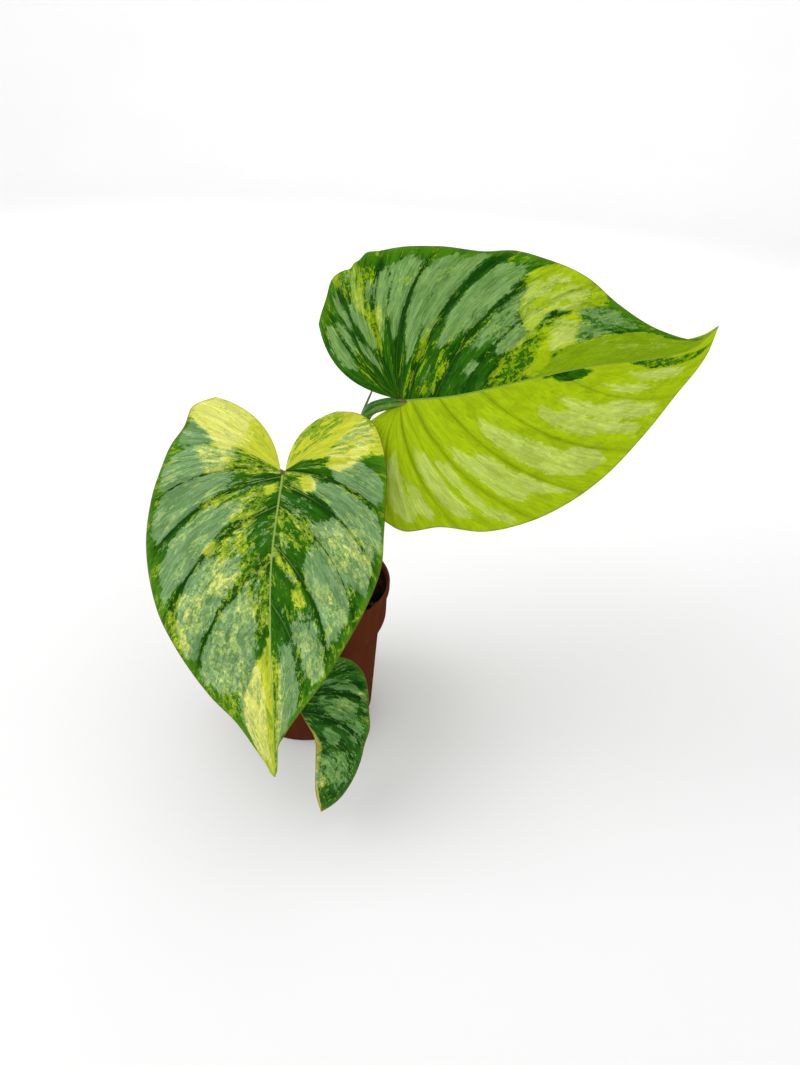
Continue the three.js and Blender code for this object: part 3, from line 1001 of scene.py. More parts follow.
@dataclass
class Blade:
    """A heart-shaped blade, from its stalk's junction to its tip, in mm.

    Its columns run across the veins, w from 0 at the sinus to 1 at the tip. Its rows run along the veins,
    s from 0 at the midrib to 1 at the margin.
    """

    name: str
    slot: str
    finish: LeafFinish
    junction: Point
    tip: Point
    normal: Point
    length: float
    arch: float
    tip_lift: float
    width: float
    midrib: Array
    notch: float
    basal_share: float
    crowding: float
    halves: dict[Side, Half]
    pleat: float = 1.2
    ridge: float = 3.2
    tip_ridge: float = 1.2
    dry_from: float = 2.0
    thickness: float = 0.6
    vein_clear: float = 0.58
    midrib_calm: float = 3.0
    strip_width: float = 7.0
    swell: float = 0.35
    ridge_turn: float = 2.0
    channel_depth: float = 0.45
    channel_width: float = 0.9
    vein_bow: float = 0.11
    rib_taper: float = 0.75
    columns: int = 250
    rows: int = 54

    def directions(self, side: Side) -> tuple[Array, ...]:
        """Returns the blade's normal, forward and across, and one half's outward and up.

        Args:
            side: The half.

        Returns:
            Five vectors of length one.
        """
        normal = unit(self.normal)
        forward = np.subtract(self.tip, self.junction)
        forward = unit(forward - (forward @ normal) * normal)
        across = np.cross(normal, forward)
        fold = math.radians(self.halves[side].fold)
        outward = across * side.value * math.cos(fold) - normal * math.sin(fold)
        up = normal * math.cos(fold) + across * side.value * math.sin(fold)
        return normal, forward, across, outward, up

    def near_junction(self, *steps: tuple[float, float]) -> list[Array]:
        """Returns points near the junction, each by its distances along the forward and the normal."""
        normal, forward, *_ = self.directions(Side.RIGHT)
        return [np.add(self.junction, forward * ahead) + normal * above for ahead, above in steps]

    def midrib_across(self, along: Array) -> Array:
        """Returns the midrib's sideways place at distances along the leaf.

        Args:
            along: Distances from the junction towards the tip.

        Returns:
            The places, above 0 to the right.
        """
        xs, ys = self.midrib.T
        index = np.arange(len(ys))
        before, after = np.maximum(index - 1, 0), np.minimum(index + 1, index[-1])
        slopes = (xs[after] - xs[before]) / (ys[after] - ys[before])
        i = np.clip(np.searchsorted(ys, along, side="left") - 1, 0, index[-1] - 1)
        span = ys[i + 1] - ys[i]
        t = np.clip((along - ys[i]) / span, 0, 1)
        line = xs[i] + (xs[i + 1] - xs[i]) * smoothstep(t, 0, 1)
        line = line + span * (slopes[i] * t * (1 - t) ** 2 - slopes[i + 1] * t * t * (1 - t))
        return np.where(along <= 0, xs[0], line)

    def midrib_height(self, half: Half, along: Array) -> Array:
        """Returns the midrib's height over the leaf's plane: an arch, dropped lobes and a lifted tip.

        Args:
            half: The half, for its lobe's drop.
            along: Distances as above.

        Returns:
            The heights.
        """
        share = along / self.length
        lift = self.tip_lift * np.maximum(0, (share - 0.75) / 0.25) ** 2
        lobes = 4 * self.arch * share - half.lobe_drop * (along / 45) ** 2
        return np.where(share > 0, 4 * self.arch * share * (1 - share) + lift, lobes)

    def stations(self) -> tuple[Array, Array]:
        """Places the columns across the veins, close together at each main vein, and the rows along them.

        Returns:
            The columns and the rows, both from 0 to 1.
        """
        fine = np.linspace(0, 1, 4001)
        veins = [vein for half in self.halves.values() for vein, _ in half.veins]
        density = 1 + sum(COLUMN_PACKING * bell(fine - vein, COLUMN_BAND) for vein in veins)
        total = np.concatenate([[0], np.cumsum((density[1:] + density[:-1]) / 2)])
        w = np.interp(np.linspace(0, total[-1], self.columns + 1), total, fine)
        w[np.abs(w - self.basal_share).argmin()] = self.basal_share
        t = np.linspace(0, 1, self.rows + 1)
        return w, 0.45 * (1 - np.cos(np.pi * t)) / 2 + 0.55 * t**1.15

    def flat(self, side: Side, w: Array, s: Array) -> tuple[Array, Array]:
        """Lays one half out flat.

        Args:
            side: The half.
            w: Columns.
            s: Rows.

        Returns:
            The points' distances across and along, each with a row for each column.
        """
        half = self.halves[side]
        edge = half.margin(w)
        share = np.clip((w - self.basal_share) / (1 - self.basal_share), 0, 1)
        reach = self.length * share**self.crowding
        basal = w < self.basal_share - ON_BORDER
        slit = self.notch * np.clip((self.basal_share - w) / 0.08, 0, 1)
        foot_x = np.where(basal, slit, side.value * self.midrib_across(reach))
        foot_y = np.where(basal, -self.notch * (1 - w / self.basal_share), reach)
        chord_x, chord_y = edge[:, 0] - foot_x, edge[:, 1] - foot_y
        bow = self.vein_bow * smoothstep(w, 0, 0.35) + half.sinus_bow * np.maximum(0, 1 - w / 0.15) ** 2
        curve = 4 * bow[:, None] * (s * (1 - s))[None, :]
        x = foot_x[:, None] + chord_x[:, None] * s + chord_y[:, None] * curve
        y = foot_y[:, None] + chord_y[:, None] * s - chord_x[:, None] * curve
        return x, y

    def vein_fields(self, side: Side, w: Array, s: Array) -> dict[str, Array]:
        """Measures each point against the main veins.

        Args:
            side: The half.
            w: Columns.
            s: Rows.

        Returns:
            The distance to the nearest vein in mm, how far the point lies in a vein's valley, the depth of
            the rib below it, and the width of the strip between two veins.
        """
        x, y = self.flat(side, w, s)
        x_w, y_w = (np.gradient(flat, w, axis=0) for flat in (x, y))
        x_s, y_s = (np.gradient(flat, s, axis=1) for flat in (x, y))
        scale = np.abs(x_w * y_s - y_w * x_s) / (np.hypot(x_s, y_s) + ON_BORDER)
        spacing = 0.1 * scale + 0.05
        valley = np.minimum(3.4, 0.42 * spacing + 0.1)
        rib_width = np.minimum(0.85, 0.2 * spacing + 0.05)
        nearest, groove, rib = (np.full(x.shape, start) for start in (1e3, 0.0, 0.0))
        for vein, weight in self.halves[side].veins:
            distance = np.abs(w - vein)[:, None] * scale
            nearest = np.minimum(nearest, distance / np.clip(weight, 0.3, 1))
            groove = np.maximum(groove, weight * np.exp(-distance / valley))
            rib = np.maximum(rib, weight * bell(distance, rib_width))
        thin = np.clip(spacing / 6, 0.12, 1)
        return {"vein": nearest / thin, "groove": groove, "rib": rib, "spacing": spacing}

    def half_surface(self, side: Side, w: Array, s: Array) -> dict[str, Array]:
        """Builds one half.

        Args:
            side: The half.
            w: Columns.
            s: Rows.

        Returns:
            The places of its upper and lower face in mm, its flat layout, and what the finish reads there.
        """
        half = self.halves[side]
        normal, forward, across, outward, up = self.directions(side)
        ridge_up = unit(up + self.directions(Side(-side.value))[4])
        x, y = self.flat(side, w, s)
        middle = self.midrib_across(y)
        away = np.maximum(x - side.value * middle, 0)
        away[w >= self.basal_share - ON_BORDER, 0] = 0
        away[-1, :] = 0
        fields = self.vein_fields(side, w, s)
        ends = np.sqrt(np.sin(np.pi * np.clip(0.06 + w, 0, 1)))[:, None]
        span = np.sin(np.pi * np.minimum(1, s + 0.08))[None, :] ** 0.7
        open_up = 1 - bell(away, self.midrib_calm)
        strip = np.clip(fields["spacing"] / self.strip_width, 0, 1)
        pleats = self.pleat * (0.6 - fields["groove"]) * span * strip
        swell = self.swell * np.sin(9 * w + 2.0)[:, None] * np.sin(7 * s + 1.0)[None, :]
        wave = half.wave
        edge_wave = wave.height * s[None, :] ** 3 * np.sin(2 * np.pi * wave.count * w + wave.phase)[:, None]
        height = ends * open_up * (pleats + swell * span + edge_wave) - half.fall * (away / self.width) ** 2
        near_rib = (bell(away, self.ridge_turn) * (y > -self.notch))[..., None]
        direction = unit(up * (1 - near_rib) + ridge_up * near_rib)
        along = np.clip(y / self.length, 0, 1)
        before_tip = np.clip(1 - y / self.length, 0, 1) * (y > 0)
        channel = self.channel_depth * bell(away, self.channel_width) * before_tip
        place = (
            np.array(self.junction)
            + forward * y[..., None]
            + across * middle[..., None]
            + normal * self.midrib_height(half, y)[..., None]
            + outward * away[..., None]
            + up * height[..., None]
            - direction * channel[..., None]
        )
        ridge = self.ridge + (self.tip_ridge - self.ridge) * along
        depth = self.thickness + (ridge - self.thickness) * bell(away, 0.55 * ridge) * (y > -self.notch)
        depth = depth + fields["rib"] * (1 - self.rib_taper * s)[None, :] * open_up * ends
        margin = np.hypot(x - x[:, -1:], y - y[:, -1:])
        grain_along = s[None, :] * np.hypot(x[:, -1:], y[:, -1:])
        grain_across = (w * half.margin_length())[:, None] + RIGHT_GRAIN * (side is Side.RIGHT)
        return {
            "top": place,
            "bottom": place - direction * depth[..., None],
            "flat": np.stack([side.value * x, y], -1),
            "grain": np.stack(np.broadcast_arrays(grain_along, grain_across, 0.0), -1),
            "vein": fields["vein"],
            "groove": fields["groove"],
            "margin": margin,
            "midrib": np.where(y > 0, away / (1 - 0.6 * along), np.hypot(x, y)),
            "dry": smoothstep(along, self.dry_from - 0.12, self.dry_from + 0.03),
            "tissue": self.painted(half.tissue, half.tissue_base, w, s),
            "silver": self.silver_field(half, w, s, fields["groove"], margin),
        }

    def painted(self, patches: Sequence[Sector], base: float, w: Array, s: Array) -> Array:
        """Lays sectors over each other, each with a soft border.

        Args:
            patches: The sectors in order.
            base: The level where no sector lies.
            w: Columns.
            s: Rows.

        Returns:
            The level of each point.
        """
        reach = np.array([0.9 * self.length * 1.7, 0.95 * self.width])
        x, y = np.meshgrid(w * reach[0], s * reach[1], indexing="ij")
        value = np.full(x.shape, base)
        for sector in patches:
            inside = outline_distance(x, y, sector.corners * reach)
            share = smoothstep(inside, -1.25 * sector.soft, 0.75 * sector.soft)
            value = value * (1 - share) + sector.level * share
        return value

    def silver_field(self, half: Half, w: Array, s: Array, groove: Array, margin: Array) -> Array:
        """Finds how much silver skin covers each point: none by the dark veins, the midrib and the margin.

        Args:
            half: The half.
            w: Columns.
            s: Rows.
            groove: How far each point lies in a vein's valley.
            margin: The distance to the margin in mm.

        Returns:
            The level of silver of each point, which is covered above one half.
        """
        off_midrib = smoothstep(s, 0.1, 0.3)[None, :]
        clear = 0.7 * smoothstep(groove, self.vein_clear, 0.96) * off_midrib
        bare_rim = 0.4 * smoothstep(-margin, -3.5, -0.5)
        return self.painted(half.silver, half.silver_base, w, s) - clear - bare_rim

    def build(self) -> Object:
        """Builds the blade with its attributes and its bake layout."""
        piece = new_piece(self.name + "_blade", BladeSheet(self).mesh(), self.finish.material())
        return fit(piece, self.slot, self.name)


class BladeSheet:
    """Joins the two halves' upper and lower faces into one closed mesh."""

    NUMBERS = ("vein", "groove", "margin", "midrib", "dry", "tissue", "silver")
    HALF_GAP = (1.5, 0.0)
    UPPER_SCALE = 0.985
    UPPER_CORNER = 0.005
    UNDER_SCALE = 0.48
    UNDER_CORNER = 0.51
    RIM_WIDTH = 0.002

    def __init__(self, blade: Blade) -> None:
        """Builds both halves' surfaces.

        Args:
            blade: The blade.
        """
        w, s = blade.stations()
        self.blade = blade
        self.shape = (len(w), len(s))
        self.count = len(w) * len(s)
        self.notch_columns = int(np.sum(w < blade.basal_share - ON_BORDER))
        self.halves = {side: blade.half_surface(side, w, s) for side in Side}

    def layout(self, side: Side, under: bool) -> Array:
        """Places one face of one half in the bake layout: the upper face large, the lower one beside it.

        Args:
            side: The half.
            under: Whether it is the lower face.

        Returns:
            The layout's two numbers for each point.
        """
        flats = [half["flat"] for half in self.halves.values()]
        low = np.min([flat.min((0, 1)) for flat in flats], axis=0)
        size = max(flat[..., 1].max() for flat in flats) - low[1]
        shift = self.HALF_GAP if side is Side.RIGHT else (0.0, 0.0)
        pair = (self.halves[side]["flat"] - low + shift) / size
        if under:
            return pair * self.UNDER_SCALE + self.UNDER_CORNER
        return pair * self.UPPER_SCALE + self.UPPER_CORNER

    def corners(self, side: Side) -> tuple[Array, Array, Array]:
        """Lists one half's faces: its upper and lower face and the rim between them.

        Args:
            side: The half.

        Returns:
            For each face the numbers of its corners, their layout places, and whether it is part of the rim.
        """
        columns, rows = self.shape
        count = self.count
        index = np.arange(count).reshape(columns, rows)
        top_uv, under_uv = self.layout(side, False), self.layout(side, True)
        c, r = np.meshgrid(np.arange(columns - 1), np.arange(rows - 1), indexing="ij")
        ring = [(c, r), (c + 1, r), (c + 1, r + 1), (c, r + 1)]
        top = np.stack([index[p] for p in ring], -1).reshape(-1, 4)
        top_places, under_places = (
            np.stack([uv[p] for p in ring], -2).reshape(-1, 4, 2) for uv in (top_uv, under_uv)
        )
        faces, places = [top, top[:, ::-1] + count], [top_places, under_places[:, ::-1]]
        k, notch, r = (np.arange(number) for number in (columns - 1, self.notch_columns, rows - 1))
        walls = (
            ((k, rows - 1), (k + 1, rows - 1)),
            ((notch + 1, 0), (notch, 0)),
            ((0, r), (0, r + 1)),
        )
        for first, second in walls:
            a, b = index[first], index[second]
            place_a, place_b = top_uv[first], top_uv[second]
            faces.append(np.stack([a, b, b + count, a + count], -1))
            shifted = (place_a, place_b, place_b + self.RIM_WIDTH, place_a + self.RIM_WIDTH)
            places.append(np.stack(shifted, -2))
        all_faces, all_places = np.concatenate(faces), np.concatenate(places)
        is_rim = np.arange(len(all_faces)) >= 2 * len(top)
        if side is Side.LEFT:
            return all_faces[:, ::-1], all_places[:, ::-1], is_rim
        return all_faces, all_places, is_rim

    def mesh(self) -> Mesh:
        """Merges shared points, drops what collapses at the tip, and writes the attributes.

        Returns:
            The blade's mesh.
        """
        points, faces, places, is_rim = [], [], [], []
        for step, side in enumerate(Side):
            half = self.halves[side]
            points += [half["top"].reshape(-1, 3), half["bottom"].reshape(-1, 3)]
            half_faces, half_places, half_rim = self.corners(side)
            faces += (half_faces + 2 * self.count * step).tolist()
            places += half_places.tolist()
            is_rim += half_rim.tolist()
        points = np.concatenate(points)
        _, first, inverse = np.unique(np.round(points, 4), axis=0, return_index=True, return_inverse=True)
        merged = inverse.reshape(-1)[np.array(faces)].tolist()
        kept, uvs, smooth = [], [], []
        for face, place, rim in zip(merged, places, is_rim):
            corners = [i for i in range(4) if face[i] != face[i - 1]]
            if len(corners) < 3 or len({face[i] for i in corners}) < len(corners):
                continue
            kept.append([face[i] for i in corners])
            uvs.extend(place[i] for i in corners)
            smooth.append(not rim)
        mesh = new_mesh(self.blade.name, (points[first] * MM).tolist(), [], kept)
        mesh.polygons.foreach_set("use_smooth", smooth)
        layer = mesh.uv_layers.new(name="OFBake")
        layer.data.foreach_set("uv", np.array(uvs, np.float32).reshape(-1))
        self.write_fields(mesh, first)
        return mesh

    def write_fields(self, mesh: Mesh, first: Array) -> None:
        """Writes what the finish reads onto the mesh's points.

        Args:
            mesh: The merged mesh.
            first: For each of its points, the first point before the merging.
        """
        for name in (*self.NUMBERS, "grain"):
            halves = [self.halves[side][name] for side in Side]
            flat = [half.reshape(self.count, -1) for half in halves for _ in ("upper", "lower")]
            write_field(mesh, name, np.concatenate(flat)[first].squeeze())
        write_field(mesh, "under", np.tile(np.repeat([0.0, 1.0], self.count), 2)[first])


MARBLED = LeafFinish(
    name="marbled cream and silver blade",
    deep=(24, 72, 8), green=(48, 102, 14), fresh=(76, 128, 20), lime=(126, 158, 38), yellow=(198, 204, 56),
    silver_green=(122, 157, 104), silver_lime=(158, 186, 116), silver_yellow=(218, 220, 118),
    vein=(150, 176, 84), midrib=(150, 174, 88), rim=(112, 66, 34), underside=(130, 156, 96),
    tip=(150, 112, 52),
)
SUNNY = LeafFinish(
    name="blade half green and half lime",
    deep=(16, 66, 4), green=(47, 101, 10), fresh=(72, 124, 12), lime=(122, 154, 12), yellow=(158, 184, 14),
    silver_green=(120, 157, 88), silver_lime=(152, 180, 70), silver_yellow=(178, 196, 94),
    vein=(84, 122, 12), midrib=(124, 154, 54), rim=(92, 84, 24), underside=(140, 168, 80),
    tip=(140, 120, 40),
    patch_length=14.0, patch_width=4.8, fresh_band=16.0, vein_reach=110.0, skin_cover=0.56, skin_edge=0.15,
)
SHADED = LeafFinish(
    name="dark young blade",
    deep=(18, 62, 12), green=(44, 96, 26), fresh=(60, 114, 34), lime=(104, 142, 52), yellow=(192, 176, 66),
    silver_green=(108, 155, 86), silver_lime=(138, 172, 96), silver_yellow=(204, 210, 122),
    vein=(96, 136, 64), midrib=(146, 92, 56), rim=(120, 78, 46), underside=(112, 138, 82),
    tip=(168, 112, 54),
    patch_length=6.5, patch_width=2.2, fresh_band=7.0,
)

A_LEFT = Half(
    outline=table("""
    44.6,-49 58,-42.2 62,-28.7 69,-16.3 73.7,1 77.4,19.3 79,44 76,65.5 69.2,86.6 61,102 50.2,118.8
    37.3,135 22.4,149.5 11,165.2 0,181.5"""),
    fold=-7, fall=13, lobe_drop=6, sinus_bow=0.15, wave=Wave(2.2, 3.5, 0.4),
    veins=table("""
    0.05,0.35 0.12,0.5 0.18,0.7 0.27,0.45 0.36,1 0.47,0.95 0.605,1 0.735,0.9 0.825,0.7 0.91,0.5"""),
    scallops=(Scallop(0.988, 0.012, 0.8),),
    tissue_base=0.15, tissue=sectors("""
    cream lobe 1 3.4: 10,105 13,80 17,68 21,62 24,56 31,47 32,40 25,42 18,50 17,42 18,28 22,14 27,-5
        -5,-5 -5,105;
    cream beside the lobe 0.66 3.4: 22,77 20,65 24,53 31,47 34,35 37,37 36,53 31,60 26,73;
    marbling by the stalk 0.43 3.4: 22,50 18,27 24,3 40,-2 49,3 42,18 37,37 31,38;
    marbling along the midrib 0.37 3.4: 46,60 46,46 49,30 49,-3 84,-3 84,15 83,38 81,23 75,30 71,30
        67,33 62,45 58,38 55,30;
    dark by the midrib 0.2 2: 55.5,-3 55.5,11 60,14 65.5,14 66,-3;
    yellow at the junction 0.95 1.2: 51,10 51,3 55,3 55,8;
    yellow fleck 0.95 1.2: 58.5,54 58.5,46 60,42 62,42 62,51;
    cream fleck 0.72 3.4: 66,73 67,65 69,63 68.5,74;
    pale beside the fleck 0.48 3.4: 60,40 65,30 66.5,11 70,12 73,38 70,52 66,62 62,55;
    pale margin 0.48 3.4: 60,90 63,72 67,60 70,68 71,90 69,98 62,98;
    pale sixth strip 0.31 3.4: 74,80 75,25 81,18 84.5,32 86.5,48 87,62 84,88 81,92 76,94;
    marbling above the tip 0.38 3.4: 81,95 83,75 86,62 88,82 84,100;
    tip sector 0.82 1.2: 84,-5 85.5,10 86,25 87,38 87,55 87.5,72 89,84 92,93 96,105 105,105 105,-5;
    green at the junction 0 1.2: 43,17 41,12 44,3 49,3 49,13;
    green beside the midrib 0 1.2: 68,13 66.5,10 67,2 71,2 71,8;
    green above the tip sector 0 1: 85,26 83.5,3 84.5,2 85.6,10 85.8,24"""),
    silver_base=0.14, silver=sectors("""
    marbled skin 0.28 3.4: 36,-3 36,40 49,34 60,50 72,36 84,30 84,-3;
    lobe skin 0.85 10: 3,50 -5,85 -5,105 10,105 14,78 20,62 30,48 25,42 16,50 9,42;
    shoulder 0.85 3.4: 11,95 14,80 18,68 22,77 21,93 18,97 14,96;
    second strip 0.97 3.4: 25,93 22,75 24,55 30,50 39,35 36.5,68 36.5,87 34,95 29,96;
    third strip 0.97 3.4: 37,90 37,68 39,37 44,35 45,45 46,60 46.5,77 46,88 42,94;
    fourth strip 0.97 3.4: 49,52 53,25 56,27 58,40 59,52 60,67 58,93 52,88 49,75;
    fifth strip 0.92 3.4: 61,52 66,40 69,26 72,35 73,60 72,90 70,95 64,90 61,70;
    sixth strip 0.92 3.4: 74,60 75,25 81,18 84.5,30 85.6,48 85,62 83,80 80,90 76,94 74,85;
    pale side of the tip 0.98 7: 86,26 87,75 89,86 96,98 98,40 92,20"""),
)
A_RIGHT = Half(
    outline=table("""
    32,-38 44,-37.5 53.7,-32 59.4,-19.2 62.8,-0.4 62.3,17.2 61,38.5 59.5,58.4 51.3,82.3 38.2,108
    26.9,126.6 14.6,143 5.4,156.6 0.8,166 0,181.5"""),
    fold=-7, fall=12, lobe_drop=-4, sinus_bow=0.16, wave=Wave(2, 3, 1.9),
    veins=table("""
    0.05,0.3 0.11,0.35 0.17,0.4 0.23,0.5 0.3,0.5 0.395,1 0.52,1 0.605,0.9 0.7,0.9 0.8,0.7 0.9,0.5"""),
    scallops=(Scallop(0.982, 0.018, 1.1),),
    tissue_base=0.15, tissue=sectors("""
    yellow lobe 0.98 3.4: 11,105 12,87 16,65 19,52 25,42 26,33 20,18 23,-5 -5,-5 -5,105;
    lime streak of the lobe 0.7 6: -5,5 -5,95 3,97 7,80 10,55 10,30 7,10;
    blotched cream 0.7 3.4: 11,97 16,102 22,100 25,83 25,68 27,47 24,43 16,65;
    yellow edge 1 1.5: 14,104 24,104 25,90 19,94;
    cream arm 0.92 3.4: 29,37 24,60 22,88 24,85 28,70 34,53 33,43;
    green tongues 0.2 1.5: 39,10 27,12 26,35 29,42 32,33 37,22;
    marbling by the stalk 0.44 3.4: 40,-3 40,15 51,18 55,13 52,-3;
    yellow spot 0.92 1.2: 45,13 40,22 44,28 48,27 51,18 48,15;
    marbling 0.36 3.4: 61,-3 59,18 57,28 59,37 60,52 62,40 66,17 70,-3;
    green plate 0 1.2: 54,-3 52,17 51,37 52,42 57,18 60,10 60,-3;
    lower green plate 0 1.2: 70,13 67,22 66,35 70,28;
    yellow streak 0.5 1.2: 71,-3 70.8,12 70.8,28 71.5,34 72.3,25 72.6,-3;
    cream on the vein 0.8 1.5: 74,25 72,32 72,42 74,38 75,27;
    pale panel 0.42 3.4: 59,35 53,47 50,66 50,86 55,93 60,67 61,47;
    lower pale panel 0.4 3.4: 69,45 64,62 63.5,80 67,82 68,68 69,52;
    pale margin 0.33 3.4: 75,42 73,72 69,90 70,100 74,95 76.5,70 77,48;
    green beside the midrib 0 1.2: 86,-3 80,-3 78,12 79,25 80,45 82,45 83,28 85,12;
    yellow over the midrib 0.9 1: 87,-5 88,6 90,12 95,8 105,20 105,-5;
    marbling beside the tip 0.5 2: 85.5,4 85.5,28 88,42 91.5,55 93,105 105,105 105,15 97,4"""),
    silver_base=0.14, silver=sectors("""
    marbled skin 0.28 3.4: 40,-3 40,30 60,30 66,25 80,25 80,-3;
    lobe streak 0.18 3.4: 1,40 -4,92 10,97 12,60 10,30;
    blotches 0.6 3.4: 11,97 22,98 25,83 27,47 24,43 16,65;
    arm 0.7 3.4: 33,43 24,85 28,70 34,53;
    second strip 0.94 3.4: 33,45 28,70 30,87 33,97 37,97 39,80 38.5,48;
    third strip 0.96 3.4: 45,26 41,42 41,88 44,97 48,94 51,67 51,45 49,27;
    pale strip 0.92 3.4: 59,30 53,45 50,66 50,88 56,95 60,70 61,42;
    fifth strip 0.95 3.4: 65,30 62,38 61,52 60.5,84 63,88 69,82 69.5,45 69.5,37 67.5,30;
    sixth strip 0.74 3.4: 77,33 74.5,42 71.5,60 71,95 75,95 78.5,62 79.3,46 78.8,34;
    tip strip 0.84 3.4: 84.5,18 81,35 81,90 87,95 93,85 96,50 93,28 89,24"""),
)
BLADE_A = Blade(
    name="leaf_a", slot="leaf_silver", finish=MARBLED, junction=(-8.7, -50, 225.6),
    tip=(1.8, -158.7, 80.1), normal=(0.03, -0.8, 0.6), length=181.5, arch=8, tip_lift=0, width=75,
    midrib=table("0,0 -4.7,55 -4,100 -2,136 0,181.5"), notch=1.6, basal_share=8 / 22, crowding=2.2,
    pleat=1.7, vein_clear=0.7,
    halves={Side.LEFT: A_LEFT, Side.RIGHT: A_RIGHT},
)

B_LEFT = Half(
    outline=table("""
    21.6,-43.5 35,-45.5 47.3,-43 59,-36.8 69.2,-26.5 79,-14.5 81,8.6 90,35 90.3,59.7 84,86.5
    72,114.2 52.7,143 33,167.6 13,191.8 -5.5,205"""),
    fold=-6, fall=16, lobe_drop=8, sinus_bow=0.06, wave=Wave(2.4, 4, 0.2),
    veins=table("""
    0.06,0.4 0.13,0.5 0.2,0.6 0.26,0.6 0.33,0.8 0.405,0.5 0.46,1 0.535,0.55 0.59,1 0.677,1 0.758,1
    0.812,0.5 0.858,0.8 0.93,0.5"""),
    tissue_base=1.12, tissue=sectors("""
    hidden lobe 0.8 4: 2,20 5,90 20,90 18,30;
    green splash 0 0.8: 83.5,-3 85,11.5 87,13.5 88.5,7 88,-3;
    dark speckle 0.34 1: 92.5,-3 92.5,30 93.5,50 95,90 97,98 97,40 95.5,-3"""),
    silver_base=0.05, silver=sectors("""
    lobe strip 0.9 3.4: 36,45 39.5,38 40,60 39.5,95 36.8,90 34.5,80;
    ninth strip 0.9 3.4: 41,60 43,70 43.6,85 42,93 40.7,85;
    eighth strip 0.97 3.4: 49,33 52.5,36 52.5,55 52,78 50.5,88 48.2,86 47.2,65 47.5,48;
    seventh strip 0.95 3.4: 54.5,42 57.5,44 57,62 56,80 57,92 55.5,98 54,86 54.5,60;
    sixth strip 0.97 3.4: 61.8,32 63.2,42 63,65 63.6,78 61.8,83 60.6,72 60.6,42;
    fifth strip 0.97 3.4: 65,40 66.4,48 66.7,72 68,87 67.2,93 65,84 64,70 64.3,50;
    fourth strip 1 3.4: 71.2,22 72.5,34 73.5,50 74.2,66 75.5,68 75.5,84 73.8,90 70.8,88 69.4,72
        69.2,48 70,32;
    third strip 1 3.4: 79,26 80.2,40 80.6,60 80.6,88 79,92 79,74 77.8,60 78.2,40;
    second strip 1 3.4: 82.3,27 83.5,50 85,60 84.7,88 82.8,93 82,75 81.2,45;
    first strip 0.92 2: 87.3,26 88.8,50 88,66 87,62 86.8,42;
    tip strip 0.9 2: 90.5,20 93,45 92.5,75 90.5,78 90,45"""),
)
